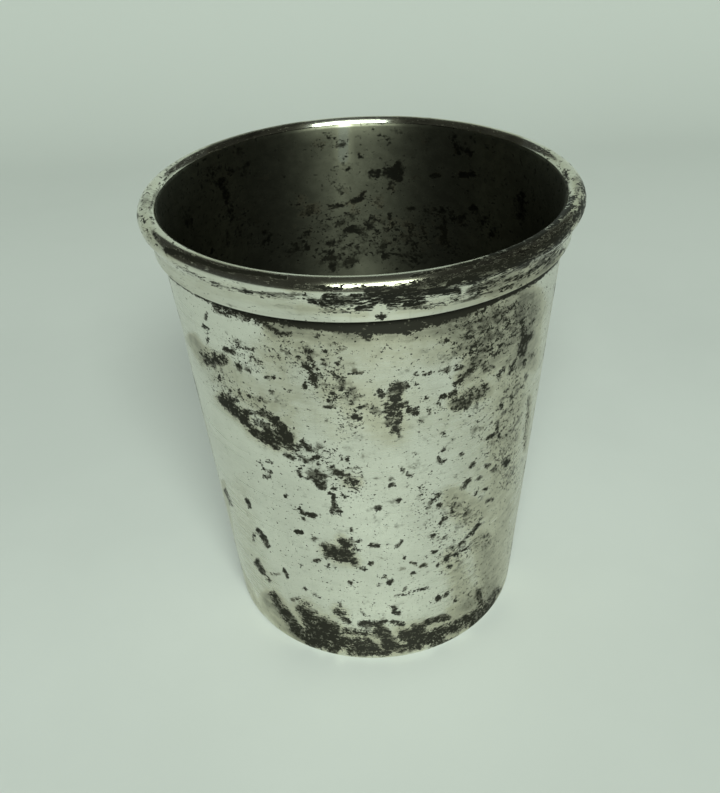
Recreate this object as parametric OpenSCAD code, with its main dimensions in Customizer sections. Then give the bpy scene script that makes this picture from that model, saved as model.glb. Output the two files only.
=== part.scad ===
// Plated metal tumbler: a tapered spun wall, a dropped-in floor, and a wired collar as its lip.
// Millimetres, +Z up, the foot stands on z = 0 and the axis of the cup is the Z axis.

/* [Cup] */
// Overall height, from the table to the top of the lip
cup_h = 87.5; // [60:0.5:120]
// Diameter of the wall at the table, measured at the sharp corner outside the foot bend
foot_d = 59.5; // [44:0.5:64]
// Outer diameter of the wall at its top edge
wall_top_d = 69.9; // [66:0.1:90]
// Thickness of the wall's sheet
wall_t = 0.7; // [0.5:0.05:1.1]

/* [Foot and floor] */
// Outside radius of the bend from the wall into the hem
foot_bend_r = 1.2; // [1.15:0.05:2.5]
// Width of the flat hem that the tumbler stands on
hem_w = 2.4; // [1.5:0.1:5]
// Thickness of the floor disc
floor_t = 0.9; // [0.7:0.05:2]
// Leg of the solder run in the corner between floor and wall
floor_solder_leg = 0.9; // [0.5:0.05:1.5]

/* [Collar] */
// Height of the collar, from the skirt's edge to the top of the lip
collar_h = 7.2; // [5.5:0.1:12]
// Thickness of the collar's sheet
collar_t = 0.65; // [0.5:0.05:0.9]
// Gap between the wall and the inside of the skirt's edge
skirt_gap = 0.6; // [0.3:0.05:0.9]
// Diameter of the wire inside the rolled lip
lip_wire_d = 1.9; // [1.6:0.05:3]
// Clearance all round the wire
wire_clearance = 0.04; // [0.02:0.01:0.1]
// How far the wall's top edge, the collar's seat, stands above the wire's centre
seat_rise = 0.7; // [0:0.1:0.8]
// How far the solder ring is set back above the skirt's edge
collar_solder_setback = 0.4; // [0.2:0.05:1]
// Height of the solder ring between skirt and wall
collar_solder_h = 1.4; // [0.6:0.1:2]

/* [Finish] */
// Sides of a full circle
round_sides = 128; // [64:8:256]

/* [Hidden] */
$fn = round_sides;

// The roll of the lip: sheet wrapped round the wire, down to its seat on the wall's top edge
lip_hole_r = lip_wire_d / 2 + wire_clearance;
lip_r = lip_hole_r + collar_t;
wire_z = cup_h - lip_r;
wall_top_z = wire_z + seat_rise;

// The wall's lean from the vertical, and its outer and inner radius at a height
foot_r = foot_d / 2;
lean = atan((wall_top_d / 2 - foot_r) / wall_top_z);
wall_w = wall_t / cos(lean);
function wall_outer(z) = foot_r + z * tan(lean);
function wall_inner(z) = wall_outer(z) - wall_w;

// The foot bend, tangent to the wall and to the table
bend_c = [foot_r - foot_bend_r * (1 - sin(lean)) / cos(lean), foot_bend_r];
bend_inner_r = foot_bend_r - wall_t;
bend_end_z = bend_c.y - bend_inner_r * sin(lean);

// The floor lies on the hem and reaches to where the bend starts to rise
floor_r = bend_c.x;
floor_top_z = wall_t + floor_t;

// The lip's centre: the wire clears the outside of the wall
lip_c = [wall_outer(wire_z) + lip_hole_r, wire_z];

// The skirt: a hollow curve that leaves the roll without a crease and ends upright at its edge.
// The distance between the two curves' centres is rounded to a micron, so that they meet exactly.
skirt_edge_z = cup_h - collar_h;
skirt_edge_r = wall_outer(skirt_edge_z) + skirt_gap + collar_t;
skirt_drop = lip_c.y - skirt_edge_z;
skirt_inset = lip_c.x + lip_r - skirt_edge_r;
skirt_reach = (skirt_drop ^ 2 + skirt_inset ^ 2) / (2 * skirt_inset);
skirt_distance = round(skirt_reach * 1000) / 1000;
skirt_r = skirt_distance - lip_r;
skirt_turn = asin(skirt_drop / skirt_distance);
skirt_c = on_circle(lip_c, skirt_distance, -skirt_turn);
skirt_back_r = skirt_r + collar_t;

// Reach of the cutting shapes, past everything
reach = wall_top_d + cup_h;
// Extra turn that the collar's curves have before their ends are trimmed level
trim_turn = 15;

// A point on a circle
function on_circle(centre, r, angle) = centre + r * [cos(angle), sin(angle)];

// Part of a flat ring between two angles less than a half turn apart
module ring_slice(centre, inner_r, outer_r, from, to) {
  intersection() {
    translate(centre)
      difference() {
        circle(outer_r);
        circle(inner_r);
      }
    polygon([
      centre,
      on_circle(centre, reach, from),
      on_circle(centre, reach * 2, (from + to) / 2),
      on_circle(centre, reach, to)
    ]);
  }
}

// The tapered wall with its foot bend and the hem under the floor
module cup_wall() {
  color("silver")
    rotate_extrude() {
      difference() {
        translate(bend_c)
          rotate(-lean) {
            ring_slice([0, 0], bend_inner_r, foot_bend_r, -90, 0);
            translate([bend_inner_r, 0])
              square([wall_t, cup_h]);
          }
        // The bend ends where the flat hem begins
        square([bend_c.x, foot_bend_r]);
        // The top edge is level, as a seat for the collar
        translate([0, wall_top_z])
          square(reach);
      }
      translate([bend_c.x - hem_w, 0])
        square([hem_w, wall_t]);
    }
}

// The floor, lying on the hem
module base_disc() {
  color("gainsboro")
    translate([0, 0, wall_t])
      cylinder(h = floor_t, r = floor_r);
}

// Solder filling the corner between the floor's rim and the wall
module base_solder() {
  solder_top_z = floor_top_z + floor_solder_leg;
  color("dimgray")
    rotate_extrude()
      polygon([
        [floor_r, bend_end_z],
        [wall_inner(bend_end_z), bend_end_z],
        [wall_inner(solder_top_z), solder_top_z],
        [floor_r - floor_solder_leg, floor_top_z],
        [floor_r, floor_top_z]
      ]);
}

// The collar: its inner end sits on the wall's top edge, it rolls over the wire, and flares down
module rim_collar() {
  color("lightgray")
    rotate_extrude()
      difference() {
        translate(lip_c)
          rotate(-skirt_turn) {
            ring_slice([0, 0], lip_hole_r, lip_r, 0, 120);
            ring_slice([0, 0], lip_hole_r, lip_r, 120, 180 + skirt_turn + trim_turn);
            ring_slice([skirt_distance, 0], skirt_r, skirt_back_r, 180, 180 + skirt_turn + trim_turn);
          }
        // The seat on the wall's top edge
        translate([0, wire_z - lip_r])
          square([lip_c.x, lip_r + seat_rise]);
        // The level edge of the skirt
        translate([0, skirt_edge_z - reach])
          square(reach);
      }
}

// Solder between the wall and the back of the skirt
module collar_solder() {
  low_z = skirt_edge_z + collar_solder_setback;
  high_z = low_z + collar_solder_h;
  color("dimgray")
    rotate_extrude()
      difference() {
        polygon([
          [wall_outer(low_z), low_z],
          [skirt_c.x, low_z],
          [skirt_c.x, high_z],
          [wall_outer(high_z), high_z]
        ]);
        translate(skirt_c)
          circle(skirt_back_r);
      }
}

// The stiffening wire inside the roll
module lip_wire() {
  color("darkgoldenrod")
    rotate_extrude()
      translate(lip_c)
        circle(lip_wire_d / 2);
}

cup_wall();
base_disc();
base_solder();
rim_collar();
collar_solder();
lip_wire();
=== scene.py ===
# %% [markdown]
# # A silver-plated tumbler, turned and tarnished
# The tumbler is thin sheet: a tapered wall, a floor dropped in from the mouth, and a collar that
# rolls over a wire to make the lip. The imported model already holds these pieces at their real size.
# This lesson gives them a finer skin and an old plate finish, in the same place and to the same size.
# The first cell loads the model as a fixed frame and reads the sizes that the skins have to keep.

# %% Load the frame and read its sizes
import math

import bmesh
import bpy
import numpy as np
from mathutils import Matrix, Vector


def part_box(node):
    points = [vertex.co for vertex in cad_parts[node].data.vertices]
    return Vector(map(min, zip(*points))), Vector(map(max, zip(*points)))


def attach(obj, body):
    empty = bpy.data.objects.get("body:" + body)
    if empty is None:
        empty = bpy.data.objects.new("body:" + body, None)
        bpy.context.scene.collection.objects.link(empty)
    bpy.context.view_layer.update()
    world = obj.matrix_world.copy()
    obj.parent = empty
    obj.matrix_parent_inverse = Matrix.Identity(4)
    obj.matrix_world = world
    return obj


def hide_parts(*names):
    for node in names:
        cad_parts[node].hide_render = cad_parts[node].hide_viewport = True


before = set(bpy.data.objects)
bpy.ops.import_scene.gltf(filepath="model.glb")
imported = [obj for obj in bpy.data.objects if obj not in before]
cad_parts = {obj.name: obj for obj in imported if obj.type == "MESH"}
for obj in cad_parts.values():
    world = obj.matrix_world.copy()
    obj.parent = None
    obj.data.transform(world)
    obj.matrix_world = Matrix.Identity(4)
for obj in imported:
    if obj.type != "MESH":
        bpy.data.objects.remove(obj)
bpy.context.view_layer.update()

MM = 0.001

wall_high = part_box("cup_wall")[1]
disc_low, disc_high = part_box("base_disc")
collar_low, collar_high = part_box("rim_collar")
wire_low, wire_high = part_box("lip_wire")

CUP_H = collar_high.z
WALL_TOP_Z = wall_high.z
WALL_TOP_R = wall_high.x
SKIRT_EDGE_Z = collar_low.z
FLOOR_R = disc_high.x
FLOOR_LOW_Z = disc_low.z
FLOOR_TOP_Z = disc_high.z
WIRE_Z = (wire_low.z + wire_high.z) / 2
LIP_R = CUP_H - WIRE_Z
LIP_C = (collar_high.x - LIP_R, WIRE_Z)

print("tumbler", round(CUP_H / MM, 2), "mm high, lip", round(2 * collar_high.x / MM, 2), "mm across")

# %% [markdown]
# ## The camera
# The picture was taken from above and in front, close by. A close camera makes the mouth look much
# wider than the foot, so the distance matters as much as the angle. Blender's camera looks along its
# own -Z axis, so the matrix below is built from three directions: right, up and backwards.
# The same three directions turn any point of the tumbler into a pixel, which later cells use to put
# marks of wear where the picture shows them.

# %% Place the camera
PICTURE_W = 720
PICTURE_H = 793
FOCAL_PIXELS = 872.1
SENSOR_MM = 36.0
CAMERA_AIM = Vector((0, 0, 42.28 * MM))
CAMERA_FAR = 173.49 * MM
CAMERA_NEAREST = 10 * MM
CAMERA_RISE = math.radians(34.725)
CAMERA_TURN = math.radians(0.578)
CAMERA_TIP = math.radians(0.224)
CAMERA_ROLL = math.radians(2.345)


def camera_directions():
    """The camera's right, up and ahead, turned, tipped and rolled a little from a level view."""
    ahead = Vector((0, math.cos(CAMERA_RISE), -math.sin(CAMERA_RISE)))
    right = Vector((1, 0, 0))
    up = right.cross(ahead)
    turn = Matrix.Rotation(CAMERA_TURN, 3, up)
    ahead, right = turn @ ahead, turn @ right
    tip = Matrix.Rotation(CAMERA_TIP, 3, right)
    ahead, up = tip @ ahead, tip @ up
    roll = Matrix.Rotation(CAMERA_ROLL, 3, ahead)
    return roll @ right, roll @ up, ahead


def add_object(name, data):
    """Puts new data into the scene as an object."""
    made = bpy.data.objects.new(name, data)
    bpy.context.scene.collection.objects.link(made)
    return made


EYE = CAMERA_AIM + CAMERA_FAR * Vector((0, -math.cos(CAMERA_RISE), math.sin(CAMERA_RISE)))
RIGHT, UP, AHEAD = camera_directions()

# The sensor's width lies along the picture's longer side, which is its height
camera = add_object("camera", bpy.data.cameras.new("camera"))
camera.data.lens = FOCAL_PIXELS * SENSOR_MM / PICTURE_H
camera.data.sensor_width = SENSOR_MM
camera.data.clip_start = CAMERA_NEAREST
camera.matrix_world = Matrix.Translation(EYE) @ Matrix((RIGHT, UP, -AHEAD)).transposed().to_4x4()
bpy.context.scene.camera = camera


def picture_pixels(points):
    """Where the camera sees these points, in pixels from the picture's top left corner."""
    seen = np.asarray(points) - np.array(EYE)
    depth = seen @ np.array(AHEAD)
    across = PICTURE_W / 2 + FOCAL_PIXELS * (seen @ np.array(RIGHT)) / depth
    down = PICTURE_H / 2 - FOCAL_PIXELS * (seen @ np.array(UP)) / depth
    return np.stack([across, down], axis=1)


print("the lip's front is seen at", picture_pixels([(0, -collar_high.x, WIRE_Z)]).round(1))

# %% [markdown]
# ## Pale paper and one soft lamp
# Polished metal has no colour of its own to show: it shows what stands round it. Here a sheet of pale
# paper lies under the tumbler and curves up behind it, a wide lamp hangs in front, above the camera,
# and everything beyond is dim. The wall leans outward to the top, so it mirrors the bright paper. The
# round lip turns through every direction, so it mirrors the dark, the lamp and the paper's near edge.
# That contrast is what makes it read as metal.

# %% Paper, lamp and dim surroundings
PAPER_HALF_W = 1.3
PAPER_FRONT_Y = -0.30
PAPER_BEND_Y = 0.26
PAPER_BEND_R = 0.20
PAPER_TOP_Z = 0.36
PAPER_COLOUR = (0.655, 0.67, 0.665, 1)
PAPER_SHADE = (0.62, 0.635, 0.63, 1)
# The colour the paper is painted towards the back: painted shade, where less light falls
PAPER_FALLOFF_SHADE_COLOUR = (0.56, 0.58, 0.565, 1)
LAMP_FAR = 2.2
LAMP_RISE = math.radians(44)
LAMP_TURN = math.radians(5.5)
LAMP_W = 1.3
LAMP_H = 0.62
LAMP_POWER = 56.0
LAMP_COLOUR = (0.885, 1.0, 0.885)
DIM_COLOUR = (0.042, 0.045, 0.040, 1)


def arc(centre, radius, start, end, steps):
    """Points along a round stretch, its ends included. Angles are in degrees."""
    turns = np.radians(np.linspace(start, end, steps + 1))
    return [(centre[0] + radius * math.cos(t), centre[1] + radius * math.sin(t)) for t in turns]


def lay_paper():
    """One sheet: flat under the tumbler, then bent up behind it."""
    bend = arc((PAPER_BEND_Y, PAPER_BEND_R), PAPER_BEND_R, -90, 0, steps=24)
    side = [(PAPER_FRONT_Y, 0.0)] + bend + [(PAPER_BEND_Y + PAPER_BEND_R, PAPER_TOP_Z)]
    left = [(-PAPER_HALF_W, y, z) for y, z in side]
    right = [(PAPER_HALF_W, y, z) for y, z in side]
    strips = [(i, len(left) + i, len(left) + i + 1, i + 1) for i in range(len(left) - 1)]
    mesh = bpy.data.meshes.new("paper")
    mesh.from_pydata(left + right, [], strips)
    mesh.polygons.foreach_set("use_smooth", [True] * len(strips))
    paper = add_object("paper", mesh)
    return paper


def hang_lamp():
    """A wide soft lamp behind the camera and above it, aimed at the tumbler."""
    lamp = add_object("lamp", bpy.data.lights.new("lamp", "AREA"))
    lamp.data.shape = "RECTANGLE"
    lamp.data.size = LAMP_W
    lamp.data.size_y = LAMP_H
    lamp.data.energy = LAMP_POWER
    lamp.data.color = LAMP_COLOUR
    level = Vector((math.sin(LAMP_TURN), -math.cos(LAMP_TURN), 0)) * math.cos(LAMP_RISE)
    lamp.location = LAMP_FAR * (level + Vector((0, 0, math.sin(LAMP_RISE))))
    lamp.rotation_euler = lamp.location.to_track_quat("Z", "Y").to_euler()
    return lamp


def dim_surroundings():
    """What the lip mirrors beyond the paper: dim, without anything in it."""
    world = bpy.data.worlds.new("dim_surroundings")
    world.use_nodes = True
    world.node_tree.nodes["Background"].inputs["Color"].default_value = DIM_COLOUR
    bpy.context.scene.world = world


paper = lay_paper()
lamp = hang_lamp()
dim_surroundings()
bpy.context.scene.view_settings.view_transform = "Standard"
print("paper of", len(paper.data.polygons), "strips, lamp at", lamp.location.to_tuple(2))

# %% [markdown]
# ## A lathe made of nodes
# Wall, floor and collar are all round about one axis, so one rule makes them: take an outline, and
# turn it once round. The Spin tool or a Screw modifier would do it too. Geometry Nodes are used here
# because the same small tree, with a few named inputs, turns every piece, and it can lay out a
# texture map while it does so. The tree makes a flat grid, with one row for each point of the outline
# and one column for each step of the turn, moves each grid point to its place, and joins the seam.
# The steps are finer across the front, where the picture shows small marks, than round the back.

# %% Small helpers for node trees
def fill_input(tree, socket, value):
    """Links another node's output to a socket, or sets the socket's own value."""
    if isinstance(value, bpy.types.NodeSocket):
        tree.links.new(value, socket)
    else:
        socket.default_value = value


def add_node(tree, kind, settings=None, **inputs):
    """Adds a node, sets its own settings, and fills its inputs with values or with other outputs."""
    made = tree.nodes.new(kind)
    for name, value in (settings or {}).items():
        setattr(made, name, value)
    for name, value in inputs.items():
        fill_input(tree, made.inputs[name.replace("_", " ")], value)
    return made


def add_math(tree, operation, first, second=0.0, third=0.0):
    """One step of arithmetic, as the output of a Math node."""
    made = tree.nodes.new("ShaderNodeMath")
    made.operation = operation
    for socket, value in zip(made.inputs, (first, second, third)):
        fill_input(tree, socket, value)
    return made.outputs[0]


# %% Build the lathe tree
FRONT_HALF_TURN = math.radians(75)
SEAM_GAP = 0.001 * MM
LATHE_SOCKETS = {
    "Outline": "NodeSocketGeometry",
    "Steps in front": "NodeSocketInt",
    "Steps behind": "NodeSocketInt",
    "Rows to close": "NodeSocketInt",
    "Metal": "NodeSocketMaterial",
}


def turn_of_column(tree, column, front, behind):
    """The angle of a column: even steps across the front, then even steps round the back."""
    front_step = add_math(tree, "DIVIDE", 2 * FRONT_HALF_TURN, front)
    back_step = add_math(tree, "DIVIDE", math.tau - 2 * FRONT_HALF_TURN, behind)
    past_front = add_math(tree, "MAXIMUM", add_math(tree, "SUBTRACT", column, front), 0.0)
    start = -math.pi / 2 - FRONT_HALF_TURN
    turn = add_math(tree, "MULTIPLY_ADD", add_math(tree, "MINIMUM", column, front), front_step, start)
    return add_math(tree, "MULTIPLY_ADD", past_front, back_step, turn)


def turned_place(tree, given, points, rows):
    """Where a point of the grid goes: a point of the outline, turned by the angle of its column."""
    index = tree.nodes.new("GeometryNodeInputIndex").outputs[0]
    column = add_math(tree, "FLOOR", add_math(tree, "DIVIDE", add_math(tree, "ADD", index, 0.5), rows))
    row = add_math(tree, "SUBTRACT", index, add_math(tree, "MULTIPLY", column, rows))
    place = tree.nodes.new("GeometryNodeInputPosition").outputs[0]
    point = add_node(
        tree, "GeometryNodeSampleIndex", {"data_type": "FLOAT_VECTOR"}, Geometry=given["Outline"],
        Value=place, Index=add_math(tree, "MODULO", row, points))
    turn = turn_of_column(tree, column, given["Steps in front"], given["Steps behind"])
    turned = add_node(
        tree, "ShaderNodeVectorRotate", {"rotation_type": "Z_AXIS"}, Vector=point.outputs[0], Angle=turn)
    return turned.outputs[0]


def lathe_tree():
    """A grid wrapped round the axis, with its texture map, its seam joined and its metal set."""
    tree = bpy.data.node_groups.new("lathe", "GeometryNodeTree")
    tree.is_modifier = True
    for name, kind in LATHE_SOCKETS.items():
        tree.interface.new_socket(name, in_out="INPUT", socket_type=kind)
    tree.interface.new_socket("Turned piece", in_out="OUTPUT", socket_type="NodeSocketGeometry")
    given = tree.nodes.new("NodeGroupInput").outputs
    size = add_node(tree, "GeometryNodeAttributeDomainSize", Geometry=given["Outline"])
    points = size.outputs["Point Count"]
    steps = add_math(tree, "ADD", given["Steps in front"], given["Steps behind"])
    columns = add_math(tree, "ADD", steps, 1)
    rows = add_math(tree, "ADD", points, given["Rows to close"])
    grid = add_node(tree, "GeometryNodeMeshGrid", Vertices_X=columns, Vertices_Y=rows)
    place = turned_place(tree, given, points, rows)
    moved = add_node(tree, "GeometryNodeSetPosition", Geometry=grid.outputs["Mesh"], Position=place)
    mapped = add_node(
        tree, "GeometryNodeStoreNamedAttribute", {"data_type": "FLOAT2", "domain": "CORNER"},
        Geometry=moved.outputs[0], Name="OFBake", Value=grid.outputs["UV Map"])
    joined = add_node(
        tree, "GeometryNodeMergeByDistance", Geometry=mapped.outputs[0], Distance=SEAM_GAP)
    smooth = add_node(tree, "GeometryNodeSetShadeSmooth", Geometry=joined.outputs[0])
    whole = add_node(tree, "GeometryNodeRealizeInstances", Geometry=smooth.outputs[0])
    plated = add_node(
        tree, "GeometryNodeSetMaterial", Geometry=whole.outputs[0], Material=given["Metal"])
    result = tree.nodes.new("NodeGroupOutput")
    tree.links.new(plated.outputs[0], result.inputs["Turned piece"])
    return tree


LATHE = lathe_tree()
LATHE_INPUT = {s.name: s.identifier for s in LATHE.interface.items_tree if s.in_out == "INPUT"}
print("the lathe has", len(LATHE.nodes), "nodes and the inputs", ", ".join(LATHE_INPUT))


# %% Turn an outline into a piece
def face_outward(mesh):
    """Turns all faces outward, and counts the edges that don't have a face on both sides."""
    shell = bmesh.new()
    shell.from_mesh(mesh)
    bmesh.ops.recalc_face_normals(shell, faces=shell.faces)
    shell.to_mesh(mesh)
    open_edges = sum(1 for edge in shell.edges if len(edge.link_faces) != 2)
    shell.free()
    print(mesh.name, "has", len(mesh.polygons), "faces and", open_edges, "open edges")


def turn_on_lathe(name, outline, metal, front, behind, closed=True):
    """Turns an outline of (radius, height) points into a plain mesh with its faces outward."""
    mesh = bpy.data.meshes.new(name)
    mesh.from_pydata([(r, 0, z) for r, z in outline], [], [])
    piece = add_object(name, mesh)
    lathe = piece.modifiers.new("lathe", "NODES")
    lathe.node_group = LATHE
    lathe[LATHE_INPUT["Steps in front"]] = front
    lathe[LATHE_INPUT["Steps behind"]] = behind
    lathe[LATHE_INPUT["Rows to close"]] = int(closed)
    lathe[LATHE_INPUT["Metal"]] = metal
    seen = piece.evaluated_get(bpy.context.evaluated_depsgraph_get())
    whole = bpy.data.meshes.new_from_object(seen)
    piece.modifiers.remove(lathe)
    piece.data = whole
    bpy.data.meshes.remove(mesh)
    whole.name = name
    whole.materials.clear()
    whole.materials.append(metal)
    whole.polygons.foreach_set("material_index", np.zeros(len(whole.polygons), np.int32))
    face_outward(whole)
    return piece


# %% [markdown]
# ## Outlines
# Each outline is a short walk of straight stretches and arcs, as a metal spinner would draw it on
# the chuck. A list of measured points would do, but then no size could be changed by itself.
# The points sit close together on the wall's outside, because marks of wear are painted on
# them later, and further apart where nothing small shows.

# %% The wall's outline
FOOT_R = 29.75 * MM
FOOT_BEND_R = 1.2 * MM
HEM_W = 2.4 * MM
SHEET_T = FLOOR_LOW_Z
PAINT_STEP = 0.48 * MM
INSIDE_STEP = 0.85 * MM
PLAIN_STEP = 2.6 * MM
SHOWN_INSIDE_Z = 42 * MM
LEAN = math.atan2(WALL_TOP_R - FOOT_R, WALL_TOP_Z)
LEAN_DEG = math.degrees(LEAN)
BEND_C = (FLOOR_R, FOOT_BEND_R)
SEAT_TURN = 180 - math.degrees(math.asin((WALL_TOP_Z - WIRE_Z) / LIP_R))


def wall_outer(z):
    """The wall's outer radius at a height."""
    return FOOT_R + z * math.tan(LEAN)


def wall_inner(z):
    """The wall's inner radius at a height."""
    return wall_outer(z) - SHEET_T / math.cos(LEAN)


def straight(start, end, spacing):
    """Points along a straight stretch, without its two ends."""
    steps = max(1, round(math.dist(start, end) / spacing))
    return [
        (start[0] + (end[0] - start[0]) * i / steps, start[1] + (end[1] - start[1]) * i / steps)
        for i in range(1, steps)
    ]


def wall_outline():
    """Hem, foot bend, outside, top edge, inside, and back to the hem.

    The inner corner of the top edge is dressed down to carry on the curve of the lip above it."""
    bend_out = arc(BEND_C, FOOT_BEND_R, -90, -LEAN_DEG, steps=10)
    bend_in = arc(BEND_C, FOOT_BEND_R - SHEET_T, -LEAN_DEG, -90, steps=6)
    top_out = (WALL_TOP_R, WALL_TOP_Z)
    covered = (wall_outer(SKIRT_EDGE_Z), SKIRT_EDGE_Z)
    dressed = arc(LIP_C, LIP_R, SEAT_TURN, 180, steps=8)
    joined = (wall_inner(WIRE_Z - INSIDE_STEP), WIRE_Z - INSIDE_STEP)
    half_way = (wall_inner(SHOWN_INSIDE_Z), SHOWN_INSIDE_Z)
    hem_r = FLOOR_R - HEM_W
    hem_edge = arc((hem_r + SHEET_T / 2, SHEET_T / 2), SHEET_T / 2, 90, 270, steps=6)
    outside = bend_out + straight(bend_out[-1], covered, PAINT_STEP) + [covered]
    top = straight(covered, top_out, PLAIN_STEP) + [top_out] + dressed + [joined]
    inside = straight(joined, half_way, INSIDE_STEP) + [half_way]
    low_inside = straight(half_way, bend_in[0], PLAIN_STEP) + bend_in
    return outside + top + inside + low_inside + hem_edge


print("the wall's outline has", len(wall_outline()), "points")

# %% The collar's outline
COLLAR_T = 0.65 * MM
SKIRT_GAP = 0.6 * MM
EDGE_ROUND = 0.12 * MM
SKIRT_EDGE_R = wall_outer(SKIRT_EDGE_Z) + SKIRT_GAP + COLLAR_T
SKIRT_DROP = LIP_C[1] - SKIRT_EDGE_Z
SKIRT_INSET = LIP_C[0] + LIP_R - SKIRT_EDGE_R
SKIRT_REACH = (SKIRT_DROP ** 2 + SKIRT_INSET ** 2) / (2 * SKIRT_INSET)
SKIRT_TURN = math.degrees(math.asin(SKIRT_DROP / SKIRT_REACH))
SKIRT_R = SKIRT_REACH - LIP_R
SKIRT_C = (SKIRT_EDGE_R + SKIRT_R, SKIRT_EDGE_Z)


def collar_outline():
    """Up the skirt, over the lip to its seat on the wall, and back down the hidden side."""
    hole_r = LIP_R - COLLAR_T
    seat_in = 180 - math.degrees(math.asin((WALL_TOP_Z - WIRE_Z) / hole_r))
    lift = math.degrees(EDGE_ROUND / SKIRT_R)
    back_r = SKIRT_R + COLLAR_T
    edge_z = SKIRT_EDGE_Z + EDGE_ROUND
    edge_out = arc((SKIRT_EDGE_R - EDGE_ROUND, edge_z), EDGE_ROUND, -90, 0, steps=4)
    edge_in = arc((SKIRT_EDGE_R - COLLAR_T + EDGE_ROUND, edge_z), EDGE_ROUND, 180, 270, steps=4)
    skirt = arc(SKIRT_C, SKIRT_R, 180 - lift, 180 - SKIRT_TURN, steps=22)
    roll = arc(LIP_C, LIP_R, -SKIRT_TURN, SEAT_TURN, steps=44)
    hole = arc(LIP_C, hole_r, seat_in, -SKIRT_TURN, steps=16)
    back = arc(SKIRT_C, back_r, 180 - SKIRT_TURN, 180 - lift, steps=8)
    return edge_out[:-1] + skirt + roll[1:] + hole + back[1:-1] + edge_in


print("the collar's outline has", len(collar_outline()), "points")

# %% The floor's and the solder's outlines
SOLDER_LEG = 0.9 * MM
SOLDER_HOLLOW = 0.16 * MM
SOLDER_STEP = 0.1 * MM


def floor_outline():
    """Out along the underside, round the rim, and back to the middle along the top."""
    under = straight((0, FLOOR_LOW_Z), (FLOOR_R, FLOOR_LOW_Z), PLAIN_STEP)
    top = straight((FLOOR_R, FLOOR_TOP_Z), (0, FLOOR_TOP_Z), PAINT_STEP)
    rim = [(FLOOR_R, FLOOR_LOW_Z), (FLOOR_R, FLOOR_TOP_Z)]
    return [(0, FLOOR_LOW_Z)] + under + rim + top + [(0, FLOOR_TOP_Z)]


def solder_outline():
    """The corner between floor and wall, with a hollow face as molten solder leaves it."""
    low_z = BEND_C[1] - (FOOT_BEND_R - SHEET_T) * math.sin(LEAN)
    high_z = FLOOR_TOP_Z + SOLDER_LEG
    high = (wall_inner(high_z), high_z)
    low = (FLOOR_R - SOLDER_LEG, FLOOR_TOP_Z)
    face = straight(high, low, SOLDER_STEP)
    sag = [SOLDER_HOLLOW * math.sin(math.pi * (i + 1) / (len(face) + 1)) for i in range(len(face))]
    hollow = [(r + s, z - s) for (r, z), s in zip(face, sag)]
    back = [(wall_inner(low_z), low_z), high]
    return [(FLOOR_R, low_z)] + back + hollow + [low, (FLOOR_R, FLOOR_TOP_Z)]


print("floor", len(floor_outline()), "points, solder", len(solder_outline()), "points")

# %% [markdown]
# ## Finishes, and the paper's as the first
# A finish is a small tree of shader nodes. Noise gives it unevenness, a soft step picks out a part of the
# noise, and a mix lays one colour over another where the step says so. All noise here is placed by
# Object coordinates, so it stays on the piece wherever the camera goes. The paper needs only these three:
# its tone drifts a little, as real paper's does, which an even grey would not show.

# %% Small helpers for shaders
MIX_SOCKETS = (0, 6, 7)
MIX_RESULT = 2


def new_finish(name):
    """A new material, with its node tree, its shader, and the place on the piece."""
    made = bpy.data.materials.new(name)
    made.use_nodes = True
    tree = made.node_tree
    place = tree.nodes.new("ShaderNodeTexCoord").outputs["Object"]
    return made, tree, tree.nodes["Principled BSDF"], place


def painted(tree, name):
    """The value of a painted attribute."""
    return add_node(tree, "ShaderNodeAttribute", {"attribute_name": name}).outputs["Fac"]


def ramp(tree, value, low, high, to_low=0.0, to_high=1.0):
    """A soft step from one value to another."""
    return add_node(
        tree, "ShaderNodeMapRange", {"interpolation_type": "SMOOTHSTEP"}, Value=value, From_Min=low,
        From_Max=high, To_Min=to_low, To_Max=to_high).outputs[0]


def mix_colour(tree, amount, first, second):
    """Two colours mixed. A Mix node has its colour sockets after those for numbers and vectors."""
    made = add_node(tree, "ShaderNodeMix", {"data_type": "RGBA"})
    for socket, value in zip(MIX_SOCKETS, (amount, first, second)):
        fill_input(tree, made.inputs[socket], value)
    return made.outputs[MIX_RESULT]


def noise(tree, place, scale, detail, roughness=0.55, stretch=None):
    """Cloudy noise, stretched level where asked. The scale counts its waves in one metre."""
    if stretch:
        place = add_node(tree, "ShaderNodeMapping", Vector=place, Scale=stretch).outputs[0]
    return add_node(
        tree, "ShaderNodeTexNoise", Vector=place, Scale=scale, Detail=detail, Roughness=roughness
    ).outputs[0]


# %% A faint tone for the paper
PAPER_ROUGHNESS = 0.75
PAPER_SHINE = 0.2


def paper_material():
    """Matt paper whose tone drifts a little, painted darker towards the back as painted shade."""
    matt, tree, shader, place = new_finish("pale_paper")
    drift = ramp(tree, noise(tree, place, scale=9.0, detail=5.0), 0.35, 0.65)
    tone = mix_colour(tree, drift, PAPER_COLOUR, PAPER_SHADE)
    back = add_node(tree, "ShaderNodeSeparateXYZ", Vector=place).outputs["Y"]
    # Painted shade: the paper is coloured darker towards the back
    far = ramp(tree, back, 0.0, PAPER_BEND_Y + PAPER_BEND_R)
    fill_input(tree, shader.inputs["Base Color"], mix_colour(tree, far, tone, PAPER_FALLOFF_SHADE_COLOUR))
    shader.inputs["Roughness"].default_value = PAPER_ROUGHNESS
    shader.inputs["Specular IOR Level"].default_value = PAPER_SHINE
    return matt


paper.data.materials.append(paper_material())
print("the paper has", len(paper.data.materials[0].node_tree.nodes), "shader nodes")
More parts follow.
